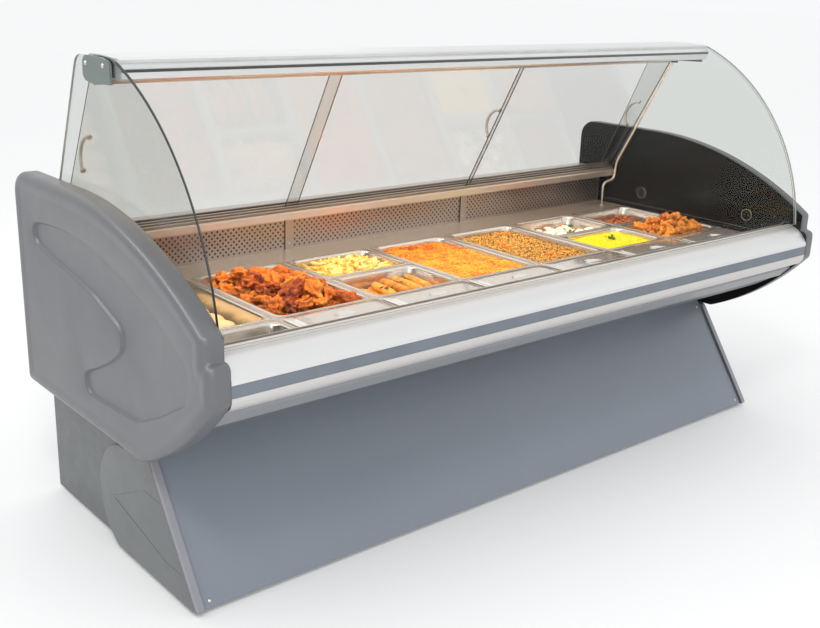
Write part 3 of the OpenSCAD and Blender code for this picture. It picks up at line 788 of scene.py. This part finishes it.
def food_material(name, stops, rough, patches, grain, depth, spread=0.35, **more):
    """Food: colour from the piece's own shade and a patchy noise over it."""
    n = Nodes(name)
    fac = n.math("ADD", n.math("MULTIPLY", n.attribute("shade"), spread),
                 n.math("MULTIPLY", n.noise(patches, 5.0, rough=0.65), 1 - spread))
    colour = n.ramp(fac, stops)
    gloss = n.span(n.noise(patches * 2.0, 4.0), rough - 0.12, rough + 0.12, 0.35, 0.65)
    fine = n.bump(n.noise(grain, 4.0, rough=0.7), depth, 0.8)
    return n.surface(colour, gloss, 0.0, fine, **more)


SOFT = dict(Subsurface_Weight=0.15, Subsurface_Scale=0.004)
BREAD = food_material(
    "bread", [(0.3, (0.62, 0.36, 0.13)), (0.48, (0.86, 0.64, 0.34)), (0.66, (0.93, 0.80, 0.56))],
    0.6, 26.0, 500.0, 0.0006, 0.4, **SOFT)
CHICKEN = food_material(
    "fried_chicken",
    [(0.28, (0.028, 0.005, 0.002)), (0.38, (0.19, 0.028, 0.003)), (0.48, (0.46, 0.088, 0.005)),
     (0.60, (0.70, 0.195, 0.011)), (0.76, (0.84, 0.38, 0.050))],
    0.45, 150.0, 380.0, 0.0030, 0.40)
CHIPS = food_material(
    "chips", [(0.2, (0.72, 0.34, 0.03)), (0.42, (0.86, 0.56, 0.12)), (0.62, (0.92, 0.72, 0.28)),
              (0.8, (0.94, 0.82, 0.46))],
    0.45, 60.0, 700.0, 0.0003, 0.55, **SOFT)
ROLLS = food_material(
    "spring_roll",
    [(0.3, (0.34, 0.095, 0.010)), (0.46, (0.68, 0.27, 0.030)), (0.62, (0.86, 0.47, 0.09)),
     (0.75, (0.92, 0.64, 0.22))],
    0.4, 60.0, 500.0, 0.0007, 0.3)
BAKE = food_material(
    "pasta_bake",
    [(0.30, (0.12, 0.016, 0.003)), (0.39, (0.44, 0.062, 0.003)), (0.47, (0.70, 0.200, 0.004)),
     (0.57, (0.80, 0.35, 0.006)), (0.72, (0.86, 0.56, 0.07))],
    0.44, 240.0, 320.0, 0.0028, 0.34, Coat_Weight=0.06, Coat_Roughness=0.25)
GRAIN = food_material(
    "fried_rice",
    [(0.16, (0.030, 0.010, 0.004)), (0.26, (0.25, 0.100, 0.014)), (0.46, (0.62, 0.315, 0.040)),
     (0.66, (0.78, 0.470, 0.090)), (0.85, (0.88, 0.64, 0.20))],
    0.42, 90.0, 600.0, 0.0004, 0.85)
YELLOW = food_material(
    "yellow_rice",
    [(0.2, (0.68, 0.43, 0.0)), (0.5, (0.88, 0.72, 0.004)), (0.8, (0.95, 0.87, 0.04))],
    0.5, 60.0, 600.0, 0.0003, 0.7)
HERB = food_material(
    "herb", [(0.3, (0.012, 0.05, 0.006)), (0.7, (0.09, 0.24, 0.03))], 0.5, 90.0, 500.0, 0.0006)
EGG = food_material(
    "egg", [(0.25, (0.85, 0.66, 0.22)), (0.4, (0.93, 0.90, 0.78)), (0.7, (0.97, 0.96, 0.92))],
    0.3, 30.0, 300.0, 0.0003, 0.5, **SOFT)
PEPPER = food_material(
    "pepper", [(0.3, (0.42, 0.02, 0.008)), (0.7, (0.80, 0.16, 0.03))], 0.3, 60.0, 300.0, 0.0005)
CARROT = food_material(
    "carrot", [(0.3, (0.50, 0.09, 0.01)), (0.7, (0.85, 0.33, 0.05))], 0.4, 60.0, 300.0, 0.0005)
SALAD = food_material(
    "salad_bed", [(0.3, (0.25, 0.30, 0.05)), (0.5, (0.75, 0.68, 0.34)), (0.7, (0.92, 0.88, 0.70))],
    0.35, 80.0, 300.0, 0.001)
STEW = food_material(
    "stew", [(0.3, (0.10, 0.016, 0.006)), (0.5, (0.34, 0.08, 0.02)), (0.7, (0.62, 0.22, 0.05))],
    0.25, 70.0, 260.0, 0.001, 0.4, Coat_Weight=0.4, Coat_Roughness=0.12)
POPCORN = food_material(
    "popcorn_chicken",
    [(0.26, (0.13, 0.028, 0.004)), (0.42, (0.40, 0.110, 0.008)), (0.56, (0.64, 0.230, 0.020)),
     (0.75, (0.82, 0.41, 0.070))],
    0.45, 90.0, 380.0, 0.0022, 0.4)


class Pile:
    """Many small closed shapes gathered into one mesh."""

    def __init__(self, seed):
        self.verts, self.faces, self.shade = [], [], []
        self.random = random.Random(seed)

    def put(self, verts, faces, shade):
        first = len(self.verts)
        self.verts += verts
        self.faces += [tuple(first + i for i in f) for f in faces]
        self.shade += [shade] * len(verts) if isinstance(shade, float) else shade

    def done(self, name, material, body):
        return piece(name, self.verts, self.faces, material, body, shade=self.shade)


def ball(steps):
    """Verts and faces of an icosphere of radius 1."""
    bm = bmesh.new()
    bmesh.ops.create_icosphere(bm, subdivisions=steps, radius=1.0)
    shape = ([v.co.copy() for v in bm.verts], [tuple(v.index for v in f.verts) for f in bm.faces])
    bm.free()
    return shape


BALLS = {k: ball(k) for k in (1, 2, 3, 4)}


def scaled(v, size):
    return Vector((v.x * size[0], v.y * size[1], v.z * size[2]))


def turned(rnd, tilt):
    """A random turn about Z after tilts of at most tilt about X and Y."""
    return (Matrix.Rotation(rnd.uniform(0, 2 * pi), 3, "Z")
            @ Matrix.Rotation(rnd.uniform(-tilt, tilt), 3, "X")
            @ Matrix.Rotation(rnd.uniform(-tilt, tilt), 3, "Y"))


def lump(pile, centre, size, rough, steps, scale, tilt=0.5, lobes=0.25):
    """A rough lump: big lobes, then crust; its shade follows the hollows."""
    rnd = pile.random
    verts, faces = BALLS[steps]
    turn = turned(rnd, tilt)
    seed = Vector((rnd.uniform(0, 50), rnd.uniform(0, 50), rnd.uniform(0, 50)))
    tone = rnd.uniform(0.25, 0.85)
    out, shades = [], []
    for v in verts:
        big = noise.noise(v * 1.6 + seed) * lobes
        place = scaled(v, size)
        crust = noise.fractal(place * scale + seed, 0.9, 2.1, 4)
        out.append(turn @ (place * (1 + big)) + (turn @ v) * crust * rough + centre)
        shades.append(held(tone + crust * 0.35))
    pile.put(out, faces, shades)


def scattered(pile, low, high, margin, count, lift, size, rough, steps, scale):
    """Lumps strewn over a pan's inside, each raised by up to lift above low.z."""
    rnd = pile.random
    for _ in range(count):
        x = rnd.uniform(low.x + margin, high.x - margin)
        y = rnd.uniform(low.y + margin, high.y - margin)
        lump(pile, Vector((x, y, low.z + rnd.uniform(0, lift))), size, rough, steps, scale)


def inside(name, margin):
    """Low and high corners of a pan's inside, margin in from its rim's edge."""
    low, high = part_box(name)
    return (Vector((low.x + margin, low.y + margin, low.z)),
            Vector((high.x - margin, high.y - margin, high.z)))


BED_CORNER, BED_DEPTH = 0.022, 0.020


def pulled_in(x, y, low, high, radius):
    """The nearest point of the rounded rectangle, and how far (x, y) is from its core."""
    kx = held(x, low.x + radius, high.x - radius)
    ky = held(y, low.y + radius, high.y - radius)
    d = hypot(x - kx, y - ky)
    if d > radius:
        x, y = kx + (x - kx) * radius / d, ky + (y - ky) * radius / d
    return x, y, d


def bed(name, low, high, level, height, material, body, step):
    """A bumpy surface of food from wall to wall, closed underneath.

    height(x, y) gives metres above level, and the shade.
    """
    w, l = high.x - low.x, high.y - low.y
    nx, ny = max(8, int(w / step)), max(8, int(l / step))
    verts, shade = [], []
    for j in range(ny + 1):
        for i in range(nx + 1):
            x, y, _d = pulled_in(low.x + w * i / nx, low.y + l * j / ny, low, high, BED_CORNER)
            h, s = height(x, y)
            verts.append(Vector((x, y, level + h)))
            shade.append(s)
    across = nx + 1
    faces = [(j * across + i, j * across + i + 1, (j + 1) * across + i + 1, (j + 1) * across + i)
             for j in range(ny) for i in range(nx)]
    rim = list(range(nx + 1))
    rim += [j * across + nx for j in range(1, ny + 1)]
    rim += [ny * across + i for i in range(nx - 1, -1, -1)]
    rim += [j * across for j in range(ny - 1, 0, -1)]
    first, count = len(verts), len(rim)
    for k in rim:
        verts.append(Vector((verts[k].x, verts[k].y, level - BED_DEPTH)))
        shade.append(shade[k])
    for k in range(count):
        after = (k + 1) % count
        faces.append((rim[k], first + k, first + after, rim[after]))
    faces.append(tuple(first + k for k in range(count)))
    return piece(name, verts, faces, material, body, shade=shade)


def edge_drop(x, y, low, high, reach=0.03, by=0.008):
    """How far food sinks towards the walls of its pan."""
    d = min(x - low.x, high.x - x, y - low.y, high.y - y)
    return -by * (1 - smoothstep(d / reach))


def bread_rolls():
    """Two rows of six soft rolls, each with a cut along its top."""
    low, high = inside("pan_1", 0.028)
    pile = Pile(11)
    rnd = pile.random
    verts, faces = BALLS[4]
    for row in range(6):
        for col in range(2):
            x = low.x + 0.070 + col * 0.132 + rnd.uniform(-0.006, 0.006)
            y = low.y + 0.036 + row * 0.0715 + rnd.uniform(-0.004, 0.004)
            centre = Vector((x, y, high.z - 0.052))
            seed = Vector((rnd.uniform(0, 9),) * 3)
            lean = Matrix.Rotation(rnd.uniform(-0.14, 0.14), 3, "Z")
            tone = rnd.uniform(0.3, 0.6)
            out, shades = [], []
            for v in verts:
                body = scaled(v, (0.064, 0.036, 0.029))
                swell = 1 + 0.07 * noise.noise(v * 1.5 + seed)
                cut = (exp(-((v.y + 0.1 * sin(v.x * 5)) / 0.13) ** 2)
                       * smoothstep(v.z * 2) * smoothstep((0.8 - abs(v.x)) * 3))
                p = lean @ (body * swell)
                p.z -= cut * 0.005
                out.append(p + centre)
                shades.append(held(tone + cut * 0.35 + 0.25 * noise.noise(body * 40 + seed)))
            pile.put(out, faces, shades)
    pile.done("bread_rolls", BREAD, "pan_1")


GOLDEN = 0.618034


def heaped(low, high, layers, shift):
    """Places in a heap: each layer has a count, a height and the share of the pan it covers."""
    w, l = high.x - low.x, high.y - low.y
    for layer, (count, z, reach) in enumerate(layers):
        for k in range(count):
            golden = (k * GOLDEN + layer * shift) % 1.0
            yield (layer, low.x + w * (0.5 + (golden - 0.5) * reach),
                   low.y + l * (0.5 + ((k + 0.5) / count - 0.5) * reach), high.z + z)


def fried_chicken():
    """Three layers of long crusty pieces."""
    low, high = inside("pan_2", 0.030)
    pile = Pile(23)
    rnd = pile.random
    layers = ((40, -0.034, 1.0), (34, -0.010, 0.88), (13, 0.012, 0.64))
    for layer, x, y, z in heaped(low, high, layers, 0.37):
        if layer == 2:
            y += 0.012
        size = (rnd.uniform(0.032, 0.048), rnd.uniform(0.017, 0.025), rnd.uniform(0.014, 0.020))
        centre = Vector((x + rnd.uniform(-0.01, 0.01), y + rnd.uniform(-0.008, 0.008),
                         z + rnd.uniform(-0.007, 0.007)))
        lump(pile, centre, size, 0.0100, 4, 95.0, lobes=0.6)
    pile.done("fried_chicken", CHICKEN, "pan_2")


STICK_CORNERS = ((1, 0.45), (0.45, 1), (-0.45, 1), (-1, 0.45),
                 (-1, -0.45), (-0.45, -1), (0.45, -1), (1, -0.45))
STICK_RINGS = 8


def stick(pile, centre, length, half, direction, droop):
    """A cut potato stick with a slight bend and soft corners."""
    side = direction.cross(Vector((0, 0, 1)))
    side = side.normalized() if side.length > 1e-3 else Vector((1, 0, 0))
    up = side.cross(direction)
    rnd = pile.random
    roll = rnd.uniform(-0.5, 0.5)
    places = [-1 + 2 * k / (STICK_RINGS - 1) for k in range(STICK_RINGS)]
    rings = []
    for t in places:
        wide = half * (1 - 0.35 * max(0, abs(t) - 0.78) / 0.22)
        base = centre + direction * (length / 2 * t) - up * droop * t * t
        ring = []
        for a, b in STICK_CORNERS:
            ca = a * cos(roll) - b * sin(roll)
            cb = a * sin(roll) + b * cos(roll)
            ring.append(base + side * ca * wide + up * cb * wide)
        rings.append(ring)
    tone = rnd.uniform(0.15, 0.95)
    shades = [held(tone - 0.3 * (abs(t) > 0.9)) for t in places for _corner in STICK_CORNERS]
    pile.put(*loft(rings), shades)


def chips():
    """A mound of sticks, mostly lying the same way."""
    low, high = inside("pan_3_rear", 0.030)
    pile = Pile(31)
    rnd = pile.random
    w, l = high.x - low.x, high.y - low.y
    for _ in range(300):
        u, v = rnd.uniform(-1, 1), rnd.uniform(-1, 1)
        mound = 0.030 * (1 - u * u * 0.9) * (1 - v * v * 0.8)
        depth = rnd.random() ** 0.8
        z = high.z - 0.040 + mound * depth + 0.018 * depth
        heading = rnd.gauss(0.2, 0.55)
        slope = rnd.uniform(-0.35, 0.35)
        d = Vector((cos(heading) * cos(slope), sin(heading) * cos(slope),
                    sin(slope)))
        length = rnd.uniform(0.066, 0.104)
        over_x, over_y = abs(d.x) * length * 0.45, abs(d.y) * length * 0.45
        x = held(low.x + w * (0.5 + 0.5 * u * 0.86), low.x + over_x, high.x - over_x)
        y = held(low.y + l * (0.5 + 0.5 * v * 0.82), low.y + over_y, high.y - over_y)
        stick(pile, Vector((x, y, z)), length, rnd.uniform(0.0044, 0.0056), d,
              rnd.uniform(-0.003, 0.003))
    pile.done("chips", CHIPS, "pan_3_rear")


def sprig(pile, centre, size):
    """A sprig of parsley: crumpled leaflets."""
    rnd = pile.random
    for _ in range(14):
        off = Vector((rnd.gauss(0, size), rnd.gauss(0, size), abs(rnd.gauss(0, size * 0.35))))
        lump(pile, centre + off, (size * 0.55, size * 0.4, size * 0.16), size * 0.25, 2, 200.0,
             tilt=0.9)


ROLL_WIDE, ROLL_HALF_LENGTH = 0.0142, 0.078


def spring_roll(pile, centre, heading, slope):
    """A slightly uneven roll whose wrapper ends in a spiral step."""
    d = Vector((cos(heading), sin(heading), slope)).normalized()
    side = Vector((-d.y, d.x, 0)).normalized()
    up = side.cross(d) * -1
    rnd = pile.random
    seed = Vector((rnd.uniform(0, 9),) * 3)
    tone = rnd.uniform(0.3, 0.7)
    rings, shades = [], []
    for i in range(19):
        t = -1 + i / 9
        wide = ROLL_WIDE * sqrt(max(0.02, 1 - abs(t) ** 7)) * (1 - 0.12 * t * t)
        ring = []
        for a in turns(18):
            about = Vector((t * 2.5, cos(a), sin(a)))
            r = wide * (1 + 0.10 * noise.noise(about * 1.7 + seed))
            r += 0.0012 * smoothstep(sin(a + t * 1.2) * 6)
            ring.append(centre + d * t * ROLL_HALF_LENGTH + side * cos(a) * r
                        + up * sin(a) * r)
            shades.append(held(tone - 0.3 * abs(t) ** 5 + 0.2 * noise.noise(ring[-1] * 60)))
        rings.append(ring)
    pile.put(*loft(rings), shades)


def spring_rolls():
    """Eight rolls side by side, four more on them, and four sprigs of parsley."""
    low, high = inside("pan_3_front", 0.030)
    mid = (low + high) / 2
    pile = Pile(41)
    rnd = pile.random
    for k in range(12):
        upper = k >= 8
        x = low.x + (high.x - low.x) * ((0.30 + 0.165 * (k - 8)) if upper else (0.07 + 0.120 * k))
        y = mid.y + rnd.uniform(-0.010, 0.010) - (0.012 if upper else 0)
        z = high.z - 0.044 + rnd.uniform(-0.003, 0.003) + (0.022 if upper else 0)
        heading = radians(84 + rnd.uniform(-8, 8))
        spring_roll(pile, Vector((x, y, z)), heading, rnd.uniform(-0.05, 0.05))
    pile.done("spring_rolls", ROLLS, "pan_3_front")
    herbs = Pile(42)
    for dx, dy in ((-0.052, -0.030), (0.012, 0.000), (0.052, 0.022), (0.088, 0.045)):
        sprig(herbs, Vector((mid.x + dx, mid.y + dy, high.z - 0.014)), 0.009)
    herbs.done("parsley", HERB, "pan_3_front")


def pasta_bake():
    """A browned crust of folds and lumps, darker towards the rear."""
    low, high = inside("pan_4", 0.0165)

    def height(x, y):
        p = Vector((x, y, 0.3))
        lumps = noise.fractal(p * 34, 0.9, 2.2, 5)
        folds = noise.fractal(p * 13 + Vector((5, 2, 1)), 0.8, 2.0, 3)
        browned = smoothstep((y - (low.y + high.y) / 2) / 0.22) * 0.28
        patch = noise.fractal(p * 17 + Vector((9, 3, 7)), 0.9, 2.2, 4)
        fine = noise.fractal(p * 120, 0.9, 2.1, 3)
        h = 0.0042 * lumps + 0.0055 * folds + 0.0016 * fine
        shade = 0.58 + 0.24 * lumps + 0.26 * patch + 0.60 * fine - browned
        return h + edge_drop(x, y, low, high, 0.02, 0.006), held(shade)

    bed("pasta_bake", low, high, high.z - 0.010, height, BAKE, "pan_4", 0.0018)


GRAIN_CORNER = 0.016
WALL_GAP = Vector((0.003, 0.003, 0))


def grains(pile, low, high, level, count, length, thick, height, tilt, tones):
    """Small grains strewn over height(x, y), none of them past the pan's round corners."""
    rnd = pile.random
    verts, faces = BALLS[1]
    for _ in range(count):
        x, y = rnd.uniform(low.x, high.x), rnd.uniform(low.y, high.y)
        if pulled_in(x, y, low, high, GRAIN_CORNER)[2] > GRAIN_CORNER:
            continue
        centre = Vector((x, y, level + height(x, y)[0] + rnd.uniform(0, thick)))
        turn = turned(rnd, tilt)
        size = (length * rnd.uniform(0.7, 1.2), thick, thick * 0.9)
        tone = rnd.uniform(*tones)
        pile.put([centre + turn @ scaled(v, size) for v in verts], faces, tone)


def fried_rice():
    """Grains, dark flecks and three heaps of carrot over a bed that fills the gaps."""
    low, high = inside("pan_5", 0.0175)

    def height(x, y):
        p = Vector((x, y, 0.7))
        h = 0.0055 * noise.fractal(p * 11, 0.8, 2.0, 3) + edge_drop(x, y, low, high, 0.03, 0.010)
        return h, 0.42 + 0.2 * noise.noise(p * 60)

    level = high.z - 0.013
    bed("fried_rice_bed", low, high, level, height, GRAIN, "pan_5", 0.008)
    pile = Pile(51)
    ends = low + WALL_GAP, high - WALL_GAP
    grains(pile, *ends, level, 10500, 0.0048, 0.0013, height, 0.7, (0.22, 0.98))
    grains(pile, *ends, level + 0.001, 1200, 0.0034, 0.0018, height, 0.9, (0.0, 0.12))
    pile.done("fried_rice", GRAIN, "pan_5")
    bits = Pile(52)
    rnd = bits.random
    for cx, cy, count in ((0.35, 0.62, 14), (0.70, 0.86, 6), (0.62, 0.20, 8)):
        for _ in range(count):
            x = low.x + (high.x - low.x) * cx + rnd.gauss(0, 0.022)
            y = low.y + (high.y - low.y) * cy + rnd.gauss(0, 0.022)
            x, y = held(x, low.x + 0.02, high.x - 0.02), held(y, low.y + 0.02, high.y - 0.02)
            lump(bits, Vector((x, y, level + height(x, y)[0] + 0.003)), (0.008, 0.006, 0.0035),
                 0.0012, 2, 90.0)
    bits.done("rice_carrots", CARROT, "pan_5")


def yellow_rice():
    """A low mound of yellow grains with a sprig on its middle."""
    low, high = inside("pan_6_front", 0.0175)
    mid = (low + high) / 2

    def height(x, y):
        mound = 0.006 * (1 - smoothstep(hypot(x - mid.x, y - mid.y) / 0.15))
        uneven = 0.0022 * noise.fractal(Vector((x, y, 0.2)) * 14, 0.8, 2.0, 3)
        return mound + uneven + edge_drop(x, y, low, high, 0.025, 0.008), 0.5

    level = high.z - 0.012
    bed("yellow_rice_bed", low, high, level, height, YELLOW, "pan_6_front", 0.008)
    pile = Pile(61)
    grains(pile, low + WALL_GAP, high - WALL_GAP, level, 5200, 0.0040, 0.0013, height, 0.6,
           (0.2, 1.0))
    pile.done("yellow_rice", YELLOW, "pan_6_front")
    herbs = Pile(62)
    sprig(herbs, Vector((mid.x, mid.y, level + 0.009)), 0.011)
    herbs.done("rice_garnish", HERB, "pan_6_front")


def potato_salad():
    """A creamy bed with egg slices, herbs and peppers strewn over it."""
    low, high = inside("pan_6_rear", 0.030)

    def height(x, y):
        n = noise.fractal(Vector((x, y, 0.9)) * 40, 0.9, 2.0, 4)
        return 0.006 * n + edge_drop(x, y, low, high), 0.5 + 0.3 * n

    level = high.z - 0.040
    bed("salad_bed", low, high, level, height, SALAD, "pan_6_rear", 0.005)
    low.z = level + 0.006
    for seed, name, material, count, size, rough in (
            (71, "salad_slices", EGG, 20, (0.020, 0.018, 0.010), 0.0010),
            (72, "salad_greens", HERB, 46, (0.011, 0.007, 0.004), 0.0018),
            (73, "salad_peppers", PEPPER, 34, (0.010, 0.006, 0.004), 0.0014)):
        pile = Pile(seed)
        scattered(pile, low, high, 0.02, count, 0.010, size, rough, 3, 70.0)
        pile.done(name, material, "pan_6_rear")


def stew():
    """Beans and herbs half sunk in a dark sauce."""
    low, high = inside("pan_7_rear", 0.030)

    def height(x, y):
        n = noise.fractal(Vector((x, y, 0.4)) * 42, 0.9, 2.0, 4)
        return 0.004 * n + edge_drop(x, y, low, high, 0.02, 0.004), 0.5 + 0.35 * n

    level = high.z - 0.036
    bed("stew_sauce", low, high, level, height, STEW, "pan_7_rear", 0.004)
    low.z = level + 0.003
    for seed, name, material, count, size in (
            (81, "stew_beans", STEW, 170, (0.0085, 0.0055, 0.0050)),
            (82, "stew_herbs", HERB, 26, (0.008, 0.005, 0.002))):
        pile = Pile(seed)
        scattered(pile, low, high, 0.012, count, 0.004, size, 0.0005, 2, 90.0)
        pile.done(name, material, "pan_7_rear")


def popcorn_chicken():
    """A heap of small crusty pieces in four layers."""
    low, high = inside("pan_7_front", 0.030)
    pile = Pile(91)
    rnd = pile.random
    layers = ((60, -0.022, 1.0), (46, -0.002, 0.80), (26, 0.018, 0.52), (8, 0.034, 0.22))
    for _layer, x, y, z in heaped(low, high, layers, 0.29):
        x += rnd.uniform(-0.006, 0.006)
        y += rnd.uniform(-0.006, 0.006)
        r = rnd.uniform(0.013, 0.018)
        centre = Vector((x, y, z + rnd.uniform(-0.003, 0.003)))
        lump(pile, centre, (r * 1.15, r, r * 0.85), 0.0048, 3, 110.0, pi, 0.4)
    pile.done("popcorn_chicken", POPCORN, "pan_7_front")


for cook in (bread_rolls, fried_chicken, chips, spring_rolls, pasta_bake, fried_rice,
             yellow_rice, potato_salad, stew, popcorn_chicken):
    cook()

# ------------------------------------------------------------------ floor, light, camera


def area(name, place, target, size, power, colour=(1, 1, 1)):
    """A rectangular lamp at place that faces target."""
    light = bpy.data.lights.new(name, "AREA")
    light.shape = "RECTANGLE"
    light.size, light.size_y = size
    light.energy = power
    light.color = colour
    obj = in_scene(name, light)
    obj.location = place
    obj.rotation_euler = (Vector(target) - Vector(place)).to_track_quat("-Z", "Y").to_euler()
    return obj


FLOOR_HALF = 60
WARM = (1.0, 0.66, 0.36)


def studio():
    """Pale floor, even sky, soft lamps round the case and three warm ones in its rail."""
    mesh = bpy.data.meshes.new("floor")
    corners = [(x * FLOOR_HALF, y * FLOOR_HALF, 0) for x, y in ((-1, -1), (1, -1), (1, 1), (-1, 1))]
    mesh.from_pydata(corners, [], [(0, 1, 2, 3)])
    n = Nodes("floor")
    tint = n.ramp(n.noise(0.8, 2.0), [(0.3, (0.885,) * 3), (0.7, (0.895,) * 3)])
    mesh.materials.append(
        n.surface(tint, 0.9, Emission_Color=(1, 1, 1, 1), Emission_Strength=0.085))
    in_scene("floor", mesh)

    world = bpy.data.worlds.new("studio")
    world.use_nodes = True
    sky = world.node_tree.nodes["Background"]
    sky.inputs["Color"].default_value = (0.985, 0.992, 1.0, 1)
    sky.inputs["Strength"].default_value = 0.955
    bpy.context.scene.world = world

    area("key", (-2.6, -2.2, 4.2), (-0.3, -0.2, 0.8), (1.0, 0.7), 46)
    # seen only as a shine along the rolled edges
    strip = area("strip", (-3.0, 0.0, 3.2), (-1.2, -0.1, 0.7), (4.5, 0.6), 60)
    strip.visible_diffuse = False
    area("low", (-3.4, -3.8, 1.5), (-0.3, -0.3, 0.25), (1.6, 1.2), 22)
    area("fill", (3.4, -3.4, 2.4), (0, 0, 0.6), (3.0, 2.0), 5)
    area("back", (0.0, 3.2, 3.4), (0, 0, 0.9), (5.0, 1.6), 12)
    low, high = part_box("heat_lamps")
    span = (high.x - low.x) / 3
    for i in range(3):
        x = low.x + span * (i + 0.5)
        warm = area(f"lamp_{i}", (x, 0.042, 1.288), (x, 0.06, 0.0), (span * 0.8, 0.03), 4.5, WARM)
        warm.visible_glossy = False


CAMERA_PLACE = (-2.3348, -2.4822, 1.5604)
CAMERA_YAW, CAMERA_PITCH, CAMERA_ROLL = (radians(a) for a in (40.6, -17.5, 1.9))
CAMERA_LENS, CAMERA_SENSOR, CAMERA_REACH = 46.87, 36.0, 400.0


def camera():
    """Placed and turned to match the photo's view of the case."""
    yaw, pitch, roll = CAMERA_YAW, CAMERA_PITCH, CAMERA_ROLL
    ahead = Vector((sin(yaw) * cos(pitch), cos(yaw) * cos(pitch),
                    sin(pitch)))
    level = Vector((cos(yaw), -sin(yaw), 0))
    upright = level.cross(ahead)
    right = cos(roll) * level + sin(roll) * upright
    up = -sin(roll) * level + cos(roll) * upright
    data = bpy.data.cameras.new("camera")
    data.lens, data.sensor_width, data.clip_end = CAMERA_LENS, CAMERA_SENSOR, CAMERA_REACH
    obj = in_scene("camera", data)
    turn = Matrix((right, up, -ahead)).transposed().to_4x4()
    obj.matrix_world = Matrix.Translation(CAMERA_PLACE) @ turn
    bpy.context.scene.camera = obj


studio()
camera()
scene = bpy.context.scene
scene.view_settings.view_transform = "Standard"
scene.cycles.max_bounces = 14
scene.cycles.transparent_max_bounces = 24
